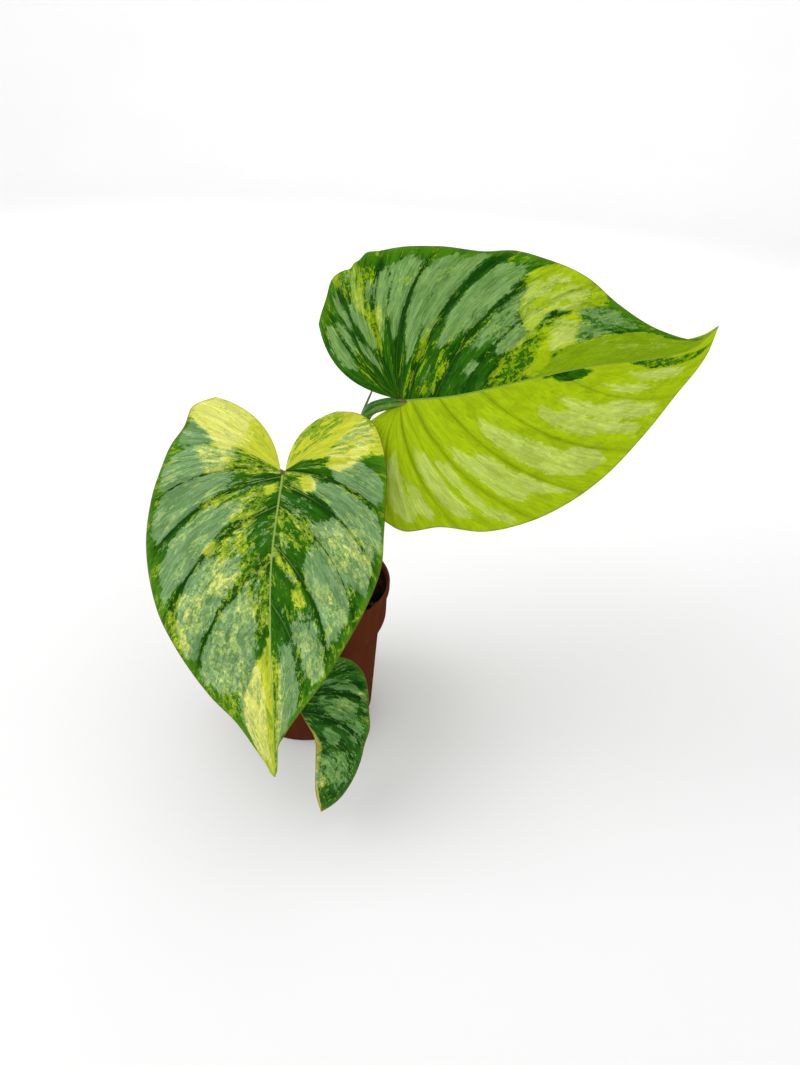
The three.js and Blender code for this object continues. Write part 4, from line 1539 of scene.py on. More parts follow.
B_RIGHT = Half(
    outline=table("""
    64.3,-40.8 74.2,-36 87.5,-27.3 95,-14 101,-1.6 102,21.3 94.6,44 84.5,69.7 81,92.2 68.4,111
    51,132.5 31.4,148 10.4,168.6 -0.7,191.5 5.5,205"""),
    fold=-6, fall=13, lobe_drop=8, sinus_bow=0.16, wave=Wave(2.6, 4.5, 1.2),
    veins=table("""
    0.035,0.6 0.077,0.8 0.125,0.8 0.18,0.9 0.25,0.6 0.33,0.9 0.373,0.6 0.432,1 0.485,0.5 0.568,1
    0.643,0.4 0.668,1 0.728,0.9 0.762,0.8 0.86,0.6"""),
    scallops=(Scallop(0.165, 0.035, 3.2), Scallop(0.215, 0.012, -1.6), Scallop(0.255, 0.015, -0.8),
        Scallop(0.292, 0.015, 1.8)),
    # the lime fold is painted even lime, darker than the yellow beside it, as painted shade of the fold
    # turned from the light
    tissue_base=0.06, tissue=sectors("""
    flecked shoulder 0.38 3.4: 16,102 21.5,102 27,92 31,90 32.3,76 29,72 25,76 19,82 16.5,92;
    pale flecks 0.5 1.5: 20,78 25,76 31,66 31.8,58 30,55 26,62 21.5,72;
    middle pale fleck 0.62 1.2: 33,61 35.2,58 36,48 34.5,43 33.3,50;
    lower pale fleck 0.62 1.2: 29.5,55 32.6,58 33.2,46 35.2,32 34,30 31,38;
    fleck on the vein 0.4 1.2: 53.6,42 56,38 57,30 57.5,18 55.5,20 54.5,30;
    marbled foot 0.25 2: 52,2 53,18 58,22 64,23 67,14 66,4 60,1;
    first foot fleck 0.34 1.2: 52,17 56,15 57,8 55,7 52,11;
    second foot fleck 0.36 1.5: 62,22 65.5,19 66.8,12 65.5,7 62.5,12;
    third foot fleck 0.36 1.2: 61,9 63.6,8 64,3 62,3;
    marbling along the midrib 0.42 1.5: 76,-3 76,45 76.5,70 78,52 81,25 82,-3;
    lower lime sector 0.9 1.2: 77.5,50 77,76 80,67 82,47 84,37 84,-3 81,7 81,22 79,40;
    lime sector 0.86 1.2: 66,105 65,92 65,85 68,75 69,67 71,58 74,50 76.5,45 75,60 74.5,73 76,70
        77.5,80 78,90 77,97 74,105;
    lime fold 0.56 1.2: 82.5,-5 82.5,33 84.3,45 85,60 87,88 92,80 95,105 105,105 105,-5;
    solid foot 0 1.2: 66.5,-3 67,12 69,22 73,27 75.5,25 75.5,-3"""),
    # the pale fold keeps little silver, so the fold stays darker as painted shade
    silver_base=0.12, silver=sectors("""
    shoulder skin 0.5 3.4: 16,102 21.5,102 27,92 32.3,76 32,58 26,60 19,80;
    first strip 0.92 3.4: 4.5,88 6.8,80 6.6,57 4.1,42 2,50 2,72;
    second strip 0.72 3.4: 8.5,80 11.4,65 10.4,50 9.3,43 8,47 7.7,70;
    third strip 0.8 3.4: 13.5,93 16,72 16.5,60 14,60 11.8,80;
    fourth strip 0.85 3.4: 15,50 20,42 30,22 24.5,20 16,32 13.5,42;
    fifth strip 0.75 3.4: 19,75 23.6,66 30,50 32,36 29,33 23.5,45 18,60;
    sixth strip 0.94 3.4: 32.3,75 33.2,84 35.2,84 36.6,65 37,48 36,35 33.5,50;
    seventh strip 0.94 3.4: 35.8,86 40.5,92 42,88 42.3,68 42.8,52 43,40 41,37 38.5,50 37.3,75;
    eighth strip 0.98 3.4: 44.5,90 47,95 48.2,80 48.2,62 50,45 52,26 50,22 46.5,36 44.5,50 43.7,70;
    ninth strip 0.96 3.4: 49,92 50.5,98 53,95 54,75 55.2,50 56.5,36 54,34 50.5,50 49,68;
    tenth strip 0.98 3.4: 58.8,86 60.5,88 62.5,76 63.5,58 64.1,33 62,28 60.6,32 59.8,45 58.6,70;
    eleventh strip 0.98 3.4: 60.5,88 63,88 65.2,80 66,65 66.2,46 65.5,36 64.5,42 64,58 62.5,76;
    twelfth strip 0.7 3.4: 68,74 70,66 72,56 72.4,36 70,28 68.2,31 68.8,40 67.7,55;
    thirteenth strip 0.94 3.4: 73.2,50 75.7,44 76.2,32 74.8,24 73.5,26;
    small fleck 0.8 1.5: 70.5,22 72.5,18 72,12 70.5,15;
    marbled foot 0.2 3.4: 52,-3 52,17 64,22 66,-3;
    silver patch 0.6 1.2: 78,73 77.5,85 79,93 83,93 85,85 85,78 84,45 84,37 81,58;
    pale lime 0.66 3.4: 66,87 68,74 70,60 74,50 76.5,45 75,62 77,78 75,93 70,93;
    lower pale lime 0.8 3.4: 77.5,62 80,66 83,42 82,30 80,42;
    pale fold 0.3 3.4: 86,25 86,55 90,75 94,60 95,30 90,20"""),
)
BLADE_B = Blade(
    name="leaf_b", slot="leaf_lime", finish=SUNNY, junction=(59.1, -10, 259.9), tip=(251.7, 23.1, 302.2),
    normal=(0, -0.788, 0.616), length=205, arch=8, tip_lift=9, width=85,
    midrib=table("0,0 -5,37 -4,113 -6,184 5.5,205"), notch=2.2, basal_share=10 / 22, crowding=2.4,
    pleat=2.5, vein_clear=0.76,
    halves={Side.LEFT: B_LEFT, Side.RIGHT: B_RIGHT},
)

C_LEFT = Half(
    outline=table("16,-15 22,-12 27,-4 30,7 30.5,20 28,32 24,43 18,53 12,62 5,70 0,76"),
    fold=97, fall=3, lobe_drop=5, sinus_bow=0.02, wave=Wave(1, 2.5, 0.6),
    veins=table("0.1,0.5 0.2,0.6 0.3,0.8 0.4,0.9 0.5,0.9 0.62,0.8 0.74,0.7 0.86,0.5"),
    tissue_base=0.14, tissue=sectors("""
    marbling 0.4 3.4: 20,20 25,70 45,60 50,20;
    yellow band 0.95 1.2: 64,-5 68,12 86,10 96,40 105,40 105,-5"""),
    silver_base=0.15, silver=sectors("""
    upper strip 0.85 3.4: 12,40 20,85 38,85 36,35;
    lower strip 0.85 3.4: 42,35 45,85 70,85 72,30"""),
)
C_RIGHT = Half(
    outline=table("""
    25.6,-20 33.5,-17.4 41,-13 47,-4 47.4,8 45,20.2 42.8,32 37,41 31.4,51.4 23.7,62 14.5,70.5 7,74
    0,76"""),
    fold=4, fall=6, lobe_drop=5, sinus_bow=0.05, wave=Wave(1.2, 3, 1.4),
    veins=table("0.12,0.5 0.22,0.7 0.32,0.8 0.39,1 0.47,0.6 0.58,0.9 0.7,0.7 0.79,0.6 0.88,0.5"),
    tissue_base=0.12, tissue=sectors("""
    pale foot 0.22 3.4: 86,12 80,15 74.5,37 71.4,68 77.3,84 83.5,72 86,45;
    pale cluster 0.5 2: 46.8,45 42.3,60 43.6,77 48.6,69 51.2,50;
    upper margin fleck 0.45 2: 36,85 34,98 38,98 40,88;
    lower margin fleck 0.45 2: 47,87 46,97 50,97 51,87;
    yellow band 0.95 1: 60,-5 69,5 76,12 83,7 87,6 92,12 96,24 99,45 105,60 105,-5;
    cream blob 0.64 1: 87.7,-5 85,12 86,38 90,30 92,-5"""),
    silver_base=0.26, silver=sectors("""
    top strip 0.7 2: 22.3,40 28,54 31.5,68 36,72 37.5,58 34.1,43 27,33;
    right strip 0.66 2: 30,70 33.5,86 38.5,95 40,88 36,66;
    cluster skin 0.8 2: 46.8,40 42,58 43.6,80 49,72 52,48;
    middle strip 0.66 2: 44.1,30 50,45 51,78 55,92 63,82 61.5,62 56.8,46 49,24;
    silver blob 1 1.2: 67.3,23 63.6,33 64.5,52 66.8,52 71.2,40 71.6,28;
    lower strip 0.68 2.5: 79,12 74.5,37 71.4,68 77.3,84 83.5,72 85,37 85,10;
    cream skin 0.9 1: 87.7,0 86,12 86.5,32 89.5,26 91,0"""),
)
BLADE_C = Blade(
    name="leaf_c", slot="leaf_dark", finish=SHADED, junction=(5.5, -95, 85), tip=(26.3, -133.8, 23),
    normal=(0.14, -0.82, 0.56), length=76, arch=6, tip_lift=0, width=38,
    midrib=table("0,0 0.2,11 5.4,28.5 2.8,43.6 -0.8,61 0,76"), notch=1.8, basal_share=6 / 16,
    crowding=1.8, pleat=0.9, ridge=2.2, tip_ridge=0.9, dry_from=1.02, columns=180, rows=40,
    halves={Side.LEFT: C_LEFT, Side.RIGHT: C_RIGHT},
)


# Stalks, roots and sheath


def finished(graph: Graph, geometry: Value, material: Value) -> Tree:
    """Ends a geometry tree: realizes its instances, smooths its faces and sets its material.

    Args:
        graph: The tree's calls.
        geometry: What the tree has made.
        material: The material.

    Returns:
        The tree.
    """
    real = graph.out("GeometryNodeRealizeInstances", {"Geometry": geometry})
    smooth = graph.out("GeometryNodeSetShadeSmooth", {"Geometry": real})
    return graph.result(graph.out("GeometryNodeSetMaterial", {"Geometry": smooth, "Material": material}))


def sweep_tree() -> Tree:
    """Builds the tree that carries a hollowed section along a path.

    Returns:
        The tree, which takes a path and the form of the section.
    """
    inputs = {"Path": "Geometry", "Sides": 24, "Upper": 1.0, "Lower": 1.0, "Wing": 0.0, "Frill": 0.0,
              "Material": "Material"}
    graph, sources = new_tree(Graph, "swept stalk", inputs, "Piece")
    path, sides, upper, lower, wing, frill, material = sources

    def attribute(name: str, kind: str = "FLOAT") -> Value:
        """Reads a named attribute."""
        return graph.out("GeometryNodeInputNamedAttribute", {"Name": name}, "Attribute", data_type=kind)

    facing, radius, run = attribute("facing", "FLOAT_VECTOR"), attribute("radius"), attribute("run")
    line = graph.out("GeometryNodeMeshToCurve", {"Mesh": path})
    turned = graph.out("GeometryNodeSetCurveNormal", {"Curve": line, "Normal": facing}, mode="FREE")
    circle = graph.out("GeometryNodeCurvePrimitiveCircle", {"Resolution": sides, "Radius": 1.0})
    x, y, _ = graph.split(graph.out("GeometryNodeInputPosition"))
    edge = graph.math("POWER", graph.math("ABSOLUTE", y), 8.0)
    height = graph.math("MAXIMUM", x, 0.0) * upper + graph.math("MINIMUM", x, 0.0) * lower + edge * wing
    circle = graph.out("GeometryNodeStoreNamedAttribute", {"Geometry": circle, "Name": "edge", "Value": edge})
    bent = {"Geometry": circle, "Position": graph.combine(height, y, 0.0)}
    section = graph.out("GeometryNodeSetPosition", bent)
    carried = {"Curve": turned, "Profile Curve": section, "Scale": radius, "Fill Caps": True}
    swept = graph.out("GeometryNodeCurveToMesh", carried)
    ripples = graph.math("SINE", run * 900.0) + graph.math("SINE", run * 370.0 + 1.3)
    push = graph.scaled(facing, ripples * frill * attribute("edge") * radius)
    waved = graph.out("GeometryNodeSetPosition", {"Geometry": swept, "Offset": push})
    return finished(graph, waved, material)


def run_tree(source: Object, tree: Tree, values: dict[str, object], name: str) -> Object:
    """Runs a geometry tree on an object and keeps the result as a plain piece.

    Args:
        source: The object that the tree starts from, which is removed.
        tree: The tree.
        values: Values for its inputs, by name.
        name: The name of the new piece.

    Returns:
        The piece.
    """
    modifier = source.modifiers.new(name, "NODES")
    modifier.node_group = tree
    for item in tree.interface.items_tree:
        if item.in_out == "INPUT" and item.name in values:
            modifier[item.identifier] = values[item.name]
    return settle(source, name)


@dataclass
class Swept:
    """A stalk, root or sheath that is swept along a path, in mm."""

    name: str
    slot: str
    path: Sequence[Sequence[float]]
    radii: tuple[float, float, float]
    facing: Point
    finish: StalkFinish | BarkFinish
    nodes: tuple[str, ...] = ()
    upper: float = 1.0
    lower: float = 1.0
    wing: float = 0.0
    frill: float = 0.0
    joint: float = 0.0
    foot: float = 0.0
    tail: float = 0.0
    steps: int = 150
    sides: int = 28
    grain_radius: float = 4.0

    def line(self) -> Array:
        """Returns the points of the path."""
        return curve_points(self.path, np.linspace(0, 1, self.steps + 1))

    def section_radii(self) -> Array:
        """Returns the radius at each point: wider at the foot and the joint, rounded off at the tail.

        Returns:
            The radii in mm.
        """
        shares = np.linspace(0, 1, self.steps + 1)
        radii = np.interp(shares, (0, 0.5, 1), self.radii)
        radii = radii * (1 + self.foot * bell(shares, 0.07))
        radii = radii * (1 + self.joint * bell(shares - 0.91, 0.05))
        if self.tail:
            end = np.clip((1 - shares) / self.tail, 0, 1)
            radii = radii * np.sqrt(np.clip(1 - (1 - end) ** 2, 0.004, 1))
        return radii

    def rail(self) -> Mesh:
        """Makes the path as edges with the radius, facing, share and run of each point.

        Returns:
            The path's mesh.
        """
        points = self.line()
        mesh = new_mesh("path", (points * MM).tolist(), [(i, i + 1) for i in range(self.steps)], [])
        tangents = unit(np.gradient(points, axis=0))
        facing = np.array(self.facing, float)
        runs = runs_along(points)
        write_field(mesh, "radius", self.section_radii() * MM)
        write_field(mesh, "share", runs / runs[-1])
        write_field(mesh, "run", runs * MM)
        write_field(mesh, "facing", unit(facing - (tangents @ facing)[:, None] * tangents))
        return mesh

    def build(self, tree: Tree) -> Object:
        """Sweeps the section along the path.

        Args:
            tree: The tree that sweeps.

        Returns:
            The piece.
        """
        source = new_piece(self.name + "_path", self.rail())
        values = {"Sides": self.sides, "Upper": self.upper, "Lower": self.lower, "Wing": self.wing,
                  "Frill": self.frill, "Material": self.finish.material()}
        piece = run_tree(source, tree, values, self.name)
        self.add_grain(piece.data)
        return fit(piece, self.slot, *self.nodes)

    def add_grain(self, mesh: Mesh) -> None:
        """Writes the coordinates that the streaks follow: along the path and round the section, in mm.

        Args:
            mesh: The swept mesh.
        """
        runs = np.empty(len(mesh.vertices), np.float32)
        mesh.attributes["run"].data.foreach_get("value", runs)
        line = self.line()
        lengths = runs_along(line) * MM
        centres = np.stack([np.interp(runs, lengths, line[:, k]) for k in range(3)], -1)
        spokes = read_places(mesh) - centres
        facing = unit(self.facing)
        beside = unit(np.cross(facing, (0.3, 0.2, 1.0)))
        angle = np.arctan2(spokes @ beside, spokes @ facing)
        write_field(mesh, "grain", np.stack([runs / MM, angle * self.grain_radius, 0 * runs], -1))


STALK_SKIN = StalkFinish()
DRY_SCALE = BarkFinish("dried scale", light=(124, 136, 60), dark=(80, 100, 38), scale=240.0, roughness=0.7)
STEM_BARK = BarkFinish("creeping stem bark", light=(124, 112, 66), dark=(66, 58, 34), scale=120.0)
ROOT_SKIN = BarkFinish("aerial root skin", light=(134, 106, 72), dark=(82, 58, 38), scale=200.0)


def petiole(
    blade: Blade, path: str, last: Sequence[tuple[float, float]], radii: Point, facing: Point, upper: float
) -> Swept:
    """Describes the stalk of a blade.

    Args:
        blade: The blade.
        path: The points from the stem to near the blade.
        last: The last points, as distances from the blade's junction along its forward and its normal.
        radii: The radius at the stem, half way and at the blade.
        facing: The side that the hollow looks to.
        upper: How high the hollowed side of the section is.

    Returns:
        The stalk.
    """
    node = blade.name.replace("leaf", "petiole")
    points = [*table(path), *blade.near_junction(*last)]
    return Swept(node + "_stalk", "stalk_green", points, radii, facing, STALK_SKIN, (node,),
                 upper=upper, wing=0.3, frill=0.07, joint=0.14, foot=0.35, tail=0.03)


def stalks() -> list[Swept]:
    """Describes the three stalks and the sheath.

    Returns:
        The stalks and the sheath.
    """
    return [
        petiole(BLADE_A, "0,-8,97 -3,-4,116 -10,5,150 -13,-2,183 -10.5,-26,207",
                ((1.4, -9), (0.4, -3), (-0.3, 0.25)), (5.2, 3.9, 2.5), (0.2, -0.2, 1), 0.16),
        petiole(BLADE_B, "4,5,98 8,7,118 19,9,165 28.5,6,208 34.4,-3,238 40.6,-10.5,253.2",
                ((-8, 0), (-1, -1.4), (5, -2.6)), (5.6, 4.3, 3.7), (-0.55, -0.35, 0.75), 0.5),
        petiole(BLADE_C, "-3,-21,95 -2,-26,112 0,-42,128 1.5,-60,129 2,-77,115",
                ((-8, 0), (-1, -0.4), (5, -0.9)), (3.4, 2.6, 1.6), (0.1, -0.6, 0.9), 0.16),
        Swept("sheath_scale", "dried_sheath", table("8.5,18,99 13,21,130 24,16,190 34,7,240 42.4,4,265"),
              (3.0, 1.7, 0.5), (0.5, 0.8, -0.1), DRY_SCALE, ("sheath",), upper=-0.12, lower=0.32, wing=0.12,
              frill=0.03, tail=0.02),
    ]


@dataclass
class CreepingStem:
    """The stem on the soil that the stalks grow from, with ringed scars and roots, in mm."""

    path: tuple[Point, ...] = ((-6, -36, 90), (-3, -20, 95), (2, -3, 97), (7, 14, 98), (9, 24, 101))
    radius: float = 7.4
    ring_height: float = 0.9
    rings: int = 9
    root_count: int = 6
    root_radius: float = 1.7
    root_length: float = 26.0
    sides: int = 56
    steps: int = 180

    def body(self) -> Mesh:
        """Builds the stem: rings of leaf scars and a rough skin.

        Returns:
            The stem's mesh.
        """
        shares = np.linspace(0, 1, self.steps + 1)
        centres = curve_points(self.path, shares)
        tangents = unit(np.gradient(centres, axis=0))
        up = unit(UP - tangents[:, 2:] * tangents)
        beside = np.cross(tangents, up)
        end = np.sqrt(np.maximum(0.04, 1 - np.abs(2 * shares - 1) ** 8))
        radii = self.radius * end + self.ring_height * np.abs(np.sin(np.pi * self.rings * shares)) ** 6
        grid = np.empty((len(shares), self.sides, 3))
        for j, angle in enumerate(turns(self.sides)):
            spokes = beside * math.cos(angle) + up * math.sin(angle)
            for i, (centre, spoke) in enumerate(zip(centres, spokes)):
                coarse = noise.noise(Vector(centre / 3 + spoke * 3))
                fine = noise.noise(Vector(centre + spoke * 9))
                grid[i, j] = centre + spoke * (radii[i] + 0.5 * coarse + 0.25 * fine)
        return mesh_from_grid("rhizome_stem", grid)

    def roots(self) -> list[Swept]:
        """Lists the roots that leave the stem on both sides and dip into the soil.

        Returns:
            The roots.
        """
        found = []
        for i in range(self.root_count):
            start = curve_points(self.path, np.array([(i + 0.8) / (self.root_count + 0.6)]))[0]
            side = 1 if i % 2 == 0 else -1
            reach = self.root_length * (0.8 + 0.2 * math.sin(2.4 * i))
            steps = (0, 0, -1), (side * 0.55 * reach, 2, -3), (side * 0.85 * reach, 3, -0.55 * reach)
            radii = (self.root_radius, 0.78 * self.root_radius, 0.55 * self.root_radius)
            found.append(Swept(
                f"stem_root_{i + 1}", "stem_bark", start + np.array(steps), radii, UP, ROOT_SKIN,
                steps=36, sides=14, foot=0.4, tail=0.06,
            ))
        return found

    def build(self, tree: Tree) -> list[Object]:
        """Builds the stem and its roots."""
        stem = fit(new_piece("rhizome_stem", self.body(), STEM_BARK.material()), "stem_bark", "rhizome")
        return [stem, *(root.build(tree) for root in self.roots())]


# Pot and soil


@dataclass
class NurseryPot:
    """A thin-walled round pot with a lip, a collar, a cone step and drain holes, in mm."""

    height: float = 115
    lip_radius: float = 60
    lip_height: float = 7
    lip_width: float = 1.9
    collar_radius: float = 58.4
    step_top: float = 85.5
    step_bottom: float = 72.5
    wall_top_radius: float = 53.4
    base_radius: float = 51
    wall: float = 1.2
    floor: float = 1.8
    foot_width: float = 4.0
    foot_height: float = 0.8
    drain_holes: int = 8
    drain_radius: float = 4
    drain_circle: float = 38
    sides: int = 192
    finish: PotFinish = PotFinish()

    def outer_radius(self, z: float | Array) -> float | Array:
        """Returns the outer radius at a height below the lip."""
        heights = (0, self.step_bottom, self.step_top)
        return np.interp(z, heights, (self.base_radius, self.wall_top_radius, self.collar_radius))

    def inner_radius(self, z: float) -> float:
        """Returns the inner radius at a height below the lip."""
        return self.outer_radius(z) - self.wall

    def profile(self) -> list[tuple[float, float, float]]:
        """Lists the section's corners as radius, height and how far each is rounded.

        Returns:
            The corners, from the middle of the foot round the lip to the floor's middle.
        """
        lip_foot = self.height - self.lip_height
        below = self.step_bottom - 0.01
        foot_inside = self.base_radius - self.foot_width
        return [
            (0, self.foot_height, 0), (foot_inside - 1, self.foot_height, 0.4), (foot_inside, 0, 0.4),
            (self.outer_radius(0) - 0.2, 0, 1.0), (self.outer_radius(below), self.step_bottom, 2.2),
            (self.outer_radius(self.step_top), self.step_top, 2.2), (self.collar_radius, lip_foot, 0.5),
            (self.lip_radius, lip_foot + 0.7, 0.6), (self.lip_radius, self.height, 0.9),
            (self.lip_radius - self.lip_width, self.height, 0.8),
            (self.inner_radius(self.height), lip_foot, 1.0),
            (self.inner_radius(self.step_top), self.step_top + 0.6, 2.0),
            (self.inner_radius(below), self.step_bottom + 0.6, 2.0),
            (self.inner_radius(self.floor), self.floor, 2.0), (0, self.floor, 0),
        ]

    def rounded(self) -> Array:
        """Rounds the section's corners with short arcs and adds points along its straight stretches.

        Returns:
            The radius and height of each point.
        """
        corners = self.profile()
        places = np.array(corners, float)[:, :2]
        line = [places[0]]
        for before, here, after, (_, _, reach) in zip(places, places[1:], places[2:], corners[1:]):
            room = 0.45 * min(np.linalg.norm(before - here), np.linalg.norm(after - here))
            start, end = (here + unit(other - here) * min(reach, room) for other in (before, after))
            for t in np.linspace(0, 1, 6):
                line.append((1 - t) ** 2 * start + 2 * t * (1 - t) * here + t**2 * end)
        line.append(places[-1])
        dense = [line[0]]
        for start, end in zip(line, line[1:]):
            parts = max(1, math.ceil(np.linalg.norm(end - start) / 6))
            dense += [start + (end - start) * k / parts for k in range(1, parts + 1)]
        return np.array(dense)

    def shell(self) -> Mesh:
        """Turns the section round the axis.

        Returns:
            The pot's mesh without holes.
        """
        radii, heights = self.rounded()[1:-1].T[..., None]
        angles = turns(self.sides)
        ring = np.broadcast_arrays(radii * np.cos(angles), radii * np.sin(angles), heights)
        return mesh_from_grid("pot_shell", np.stack(ring, -1))

    def drills(self) -> Object:
        """Builds the round cutters of the drain holes.

        Returns:
            One object with all cutters.
        """
        work = bmesh.new()
        size = self.drain_radius * MM
        for angle in turns(self.drain_holes) + math.pi / self.drain_holes:
            x, y = self.drain_circle * math.cos(angle), self.drain_circle * math.sin(angle)
            bmesh.ops.create_cone(
                work, cap_ends=True, segments=40, radius1=size, radius2=size, depth=4 * self.floor * MM,
                matrix=Matrix.Translation(Vector((x, y, self.floor / 2)) * MM),
            )
        mesh = bpy.data.meshes.new("drain_drills")
        work.to_mesh(mesh)
        work.free()
        return new_piece("drain_drills", mesh)

    def build(self) -> Object:
        """Builds the pot with its drain holes.

        Returns:
            The pot.
        """
        source = new_piece("pot_shell_source", self.shell(), self.finish.material())
        drills = self.drills()
        cut = source.modifiers.new("drain holes", "BOOLEAN")
        cut.operation, cut.solver, cut.object = "DIFFERENCE", "EXACT", drills
        piece = settle(source, "pot_shell")
        bpy.data.objects.remove(drills)
        self.mark(piece.data)
        return fit(piece, "pot_plastic", "pot")

    def mark(self, mesh: Mesh) -> None:
        """Marks the edges that get rubbed, and the inside, which gets dust and the painted shadow.

        Args:
            mesh: The pot's mesh.
        """
        x, y, z = read_places(mesh).T
        radius = np.hypot(x, y)
        foot = bell(z, 1.0) * (radius > self.base_radius - 2)
        edges = np.maximum(bell(z - self.height, 1.2), 0.6 * bell(z - self.step_top, 1.5))
        write_field(mesh, "edge", np.maximum(edges, foot))
        within = (radius < self.outer_radius(z) - 0.6 * self.wall) & (z > self.floor - 0.1)
        write_field(mesh, "inside", within)


def crumb_height(x: float, y: float) -> float:
    """Returns the soil's height at a place over its mean: lumps of three sizes, in mm.

    Args:
        x: First coordinate in mm.
        y: Second coordinate in mm.

    Returns:
        The height in mm.
    """
    waves = math.sin(0.31 * x + 0.4) * math.sin(0.27 * y - 0.9)
    waves += 0.6 * math.sin(0.62 * x - 0.35 * y + 1.3) + 0.5 * math.sin(0.44 * y + 0.58 * x - 2.1)
    place = Vector((x, y, 0.0))
    return 1.6 * waves + 1.1 * noise.noise(place / 4) + 0.7 * noise.noise(place / 1.6)


def scatter_tree() -> Tree:
    """Builds the tree that strews rough grains over the upper faces of the soil.

    Returns:
        The tree, which takes the ground and the size, shape and number of the grains.
    """
    inputs = {"Ground": "Geometry", "Density": 1e4, "Size": 0.002, "Length": 1.0, "Flatness": 1.0,
              "Sink": 0.3, "Reach": 0.054, "Fineness": 2, "Seed": 1, "Material": "Material"}
    graph, sources = new_tree(Graph, "strewn grains", inputs, "Grains")
    ground, density, size, length, flatness, sink, reach, fineness, seed, material = sources
    facing_up = graph.math("GREATER_THAN", graph.split(graph.out("GeometryNodeInputNormal"))[2], 0.3)
    here = graph.out("GeometryNodeInputPosition")
    x, y, _ = graph.split(here)
    near = graph.math("LESS_THAN", graph.math("SQRT", x * x + y * y), reach)
    chosen = {"Mesh": ground, "Selection": facing_up * near, "Density": density, "Seed": seed}
    points = graph.out("GeometryNodeDistributePointsOnFaces", chosen, "Points")
    ball = graph.out("GeometryNodeMeshIcoSphere", {"Radius": size, "Subdivisions": fineness})
    swell = graph.out("ShaderNodeTexNoise", {"Vector": here, "Scale": 420.0, "Detail": 2.0}, "Fac") + 0.45
    rough = graph.vector("MULTIPLY", here, graph.combine(swell * length, swell, swell * flatness))
    grain = graph.out("GeometryNodeSetPosition", {"Geometry": ball, "Position": rough})
    any_turn = {"Min": (-0.5, -0.5, 0.0), "Max": (0.5, 0.5, 2 * math.pi), "Seed": seed}
    turn = graph.out("FunctionNodeRandomValue", any_turn, data_type="FLOAT_VECTOR")
    any_size = graph.out("FunctionNodeRandomValue", {2: 0.45, 3: 1.2, "Seed": seed}, 1, data_type="FLOAT")
    placed = {"Points": points, "Instance": grain, "Rotation": turn, "Scale": any_size}
    strewn = graph.out("GeometryNodeInstanceOnPoints", placed)
    drop = graph.combine(0.0, 0.0, size * sink * -1.0)
    sunk = graph.out("GeometryNodeTranslateInstances", {"Instances": strewn, "Translation": drop})
    return finished(graph, sunk, material)


@dataclass(frozen=True)
class Grains:
    """One kind of loose matter on the soil: its finish, size in mm, shape and how much of it there is."""

    name: str
    finish: CrumbFinish
    size: float
    length: float
    flatness: float
    count: int
    seed: int
    fineness: int = 2
    sink: float = 0.3


@dataclass
class SoilBed:
    """The potting mix in the pot, in mm."""

    pot: NurseryPot
    finish: CrumbFinish = CrumbFinish("damp peat mix", (12, 8, 6), (34, 23, 16), 120.0)
    top: float = 94
    dip: float = 3
    gap: float = 0.3
    rings: int = 64
    sides: int = 150
    reach: float = 54.0
    mix: tuple[Grains, ...] = (
        Grains("soil_bark", CrumbFinish("pine bark", (34, 20, 13), (70, 44, 28), 160.0),
               2.8, 1.7, 0.5, 190, 4),
        Grains("soil_perlite", CrumbFinish("perlite", (150, 145, 134), (204, 200, 190), 300.0),
               1.4, 1.1, 0.9, 60, 9),
        Grains("soil_coir", CrumbFinish("coir fibre", (52, 35, 22), (92, 66, 42), 300.0),
               0.45, 11.0, 0.8, 200, 12, 1),
        Grains("soil_crumbs", CrumbFinish("peat crumbs", (13, 9, 6), (40, 27, 18), 260.0),
               1.1, 1.2, 0.9, 2600, 17, 1),
    )

    def body(self) -> Mesh:
        """Builds the mix as one closed body with a lumpy top.

        Returns:
            The soil's mesh.
        """
        edge_z = self.top - self.dip
        heights = (self.pot.floor + self.gap, self.pot.step_bottom + 1, self.pot.step_top + 1, edge_z)
        profile = [(self.pot.inner_radius(z) - self.gap, z) for z in heights]
        edge = profile[-1][0]
        for share in np.arange(1, self.rings) / self.rings:
            rise = self.dip * math.sin(math.pi / 2 * min(1, 2 * share))
            profile.append((edge * (1 - share), edge_z + rise))
        grid = np.empty((len(profile), self.sides, 3))
        for i, (radius, z) in enumerate(profile):
            for j, angle in enumerate(turns(self.sides)):
                x, y = radius * math.cos(angle), radius * math.sin(angle)
                rise = crumb_height(x, y) if i >= len(heights) else 0.0
                grid[i, j] = (x, y, z + rise)
        return mesh_from_grid("soil_bed", grid)

    def build(self, tree: Tree) -> list[Object]:
        """Builds the bed and strews its grains.

        Args:
            tree: The tree that strews.

        Returns:
            The bed and a piece for each kind of grains.
        """
        bed = new_piece("soil_bed", self.body(), self.finish.material())
        pieces = [fit(bed, "potting_soil", "soil")]
        area = math.pi * (self.reach * MM) ** 2
        for grains in self.mix:
            source = new_piece(grains.name + "_ground", bed.data.copy())
            values = {"Density": grains.count / area, "Size": grains.size * MM, "Length": grains.length,
                      "Flatness": grains.flatness, "Sink": grains.sink, "Fineness": grains.fineness,
                      "Reach": (self.reach - grains.size) * MM, "Seed": grains.seed,
                      "Material": grains.finish.material()}
            pieces.append(fit(run_tree(source, tree, values, grains.name), "potting_soil"))
        return pieces


# Studio


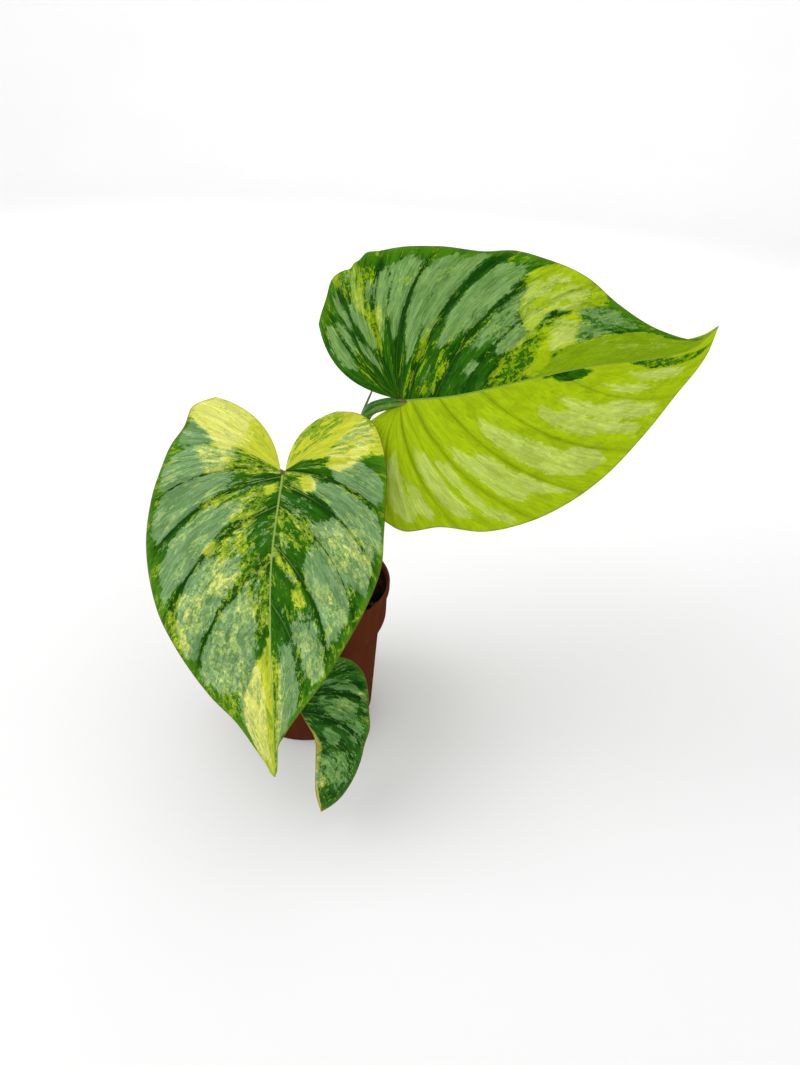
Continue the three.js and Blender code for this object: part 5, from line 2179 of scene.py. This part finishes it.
@dataclass
class Studio:
    """The pale floor that curves up all round, the soft lights and the photograph's camera, in metres."""

    floor_radius: float = 2.4
    wall_radius: float = 3.4
    wall_height: float = 1.6
    floor_sides: int = 72
    camera_place: Point = (0.0648, -0.4836, 0.4498)
    pitch: float = 31.14
    roll: float = 3.99
    focal: float = 27.11
    sky: float = 0.74
    lamps: tuple[tuple[str, Point, Point, float, float], ...] = (
        ("key", (-1.05, -0.35, 1.35), (0.08, -0.05, 0.2), 1.4, 13.2),
        ("fill", (1.2, -1.3, 0.9), (0.05, -0.05, 0.2), 1.4, 6.0),
        ("back", (0.2, 1.4, 1.3), (0.05, 0.0, 0.2), 1.4, 4.0),
        ("wall", (0.0, 1.0, 1.9), (0.0, 3.2, 0.7), 2.0, 24.0),
    )

    def floor(self) -> None:
        """Builds the floor as a wide dish."""
        paint = Skin("pale studio floor", Roughness=0.85, Specular_IOR_Level=0.2)
        tone = paint.cloud(paint.place(), 3.0, 3.0)
        material = paint.dress(Base_Color=paint.mix(tone, (238, 238, 238), (242, 242, 242)))
        rings = [(r, 0.0) for r in np.linspace(0.02, self.floor_radius, 12)]
        span = self.wall_radius - self.floor_radius
        for angle in np.linspace(0, math.pi / 2, 14)[1:]:
            rise = self.wall_height * (1 - math.cos(angle))
            rings.append((self.floor_radius + span * math.sin(angle), rise))
        sides = self.floor_sides
        points, faces = [(0.0, 0.0, 0.0)], []
        for radius, z in rings:
            points += [(radius * math.cos(angle), radius * math.sin(angle), z) for angle in turns(sides)]
        for j in range(sides):
            k = (j + 1) % sides
            faces.append((0, 1 + j, 1 + k))
            for start in range(1, 1 + (len(rings) - 1) * sides, sides):
                faces.append((start + j, start + j + sides, start + k + sides, start + k))
        mesh = new_mesh("studio_floor", points, [], faces)
        mesh.shade_smooth()
        new_piece("studio_floor", mesh, material)

    def lamp(self, name: str, place: Point, aim: Point, size: float, power: float) -> None:
        """Hangs a square soft light.

        Args:
            name: The light's name.
            place: Where it hangs.
            aim: Where it looks.
            size: The length of its sides.
            power: Its power in watts.
        """
        light = bpy.data.lights.new(name, "AREA")
        light.shape, light.size, light.energy = "SQUARE", size, power
        lamp = link(bpy.data.objects.new(name, light))
        lamp.location = place
        lamp.rotation_euler = (Vector(aim) - Vector(place)).to_track_quat("-Z", "Y").to_euler()

    def camera(self) -> None:
        """Places the camera at the photograph's viewing angle."""
        pitch, roll = math.radians(self.pitch), math.radians(self.roll)
        forward = Vector((0, math.cos(pitch), -math.sin(pitch)))
        level = Vector((1, 0, 0))
        top = level.cross(forward)
        right = level * math.cos(roll) + top * math.sin(roll)
        up = -level * math.sin(roll) + top * math.cos(roll)
        lens = bpy.data.cameras.new("camera")
        lens.lens, lens.sensor_width, lens.clip_start = self.focal, 36.0, 0.01
        camera = link(bpy.data.objects.new("camera", lens))
        turn = Matrix((right, up, -forward)).transposed().to_4x4()
        camera.matrix_world = Matrix.Translation(self.camera_place) @ turn
        bpy.context.scene.camera = camera

    def build(self) -> None:
        """Builds the floor, the camera, the lights and the sky."""
        self.floor()
        self.camera()
        for lamp in self.lamps:
            self.lamp(*lamp)
        world = bpy.data.worlds.new("studio")
        bpy.context.scene.world = world
        world.use_nodes = True
        sky = world.node_tree.nodes["Background"]
        sky.inputs[0].default_value = (1, 1, 1, 1)
        sky.inputs[1].default_value = self.sky
        bpy.context.scene.view_settings.view_transform = "Standard"


def main() -> None:
    """Builds the studio and every piece of the plant in order."""
    logging.basicConfig(level=logging.INFO, format="%(message)s")
    Studio().build()
    pot = NurseryPot()
    pot.build()
    SoilBed(pot).build(scatter_tree())
    sweep = sweep_tree()
    CreepingStem().build(sweep)
    for stalk in stalks():
        stalk.build(sweep)
    for blade in (BLADE_A, BLADE_B, BLADE_C):
        blade.build()


if __name__ == "__main__":
    main()
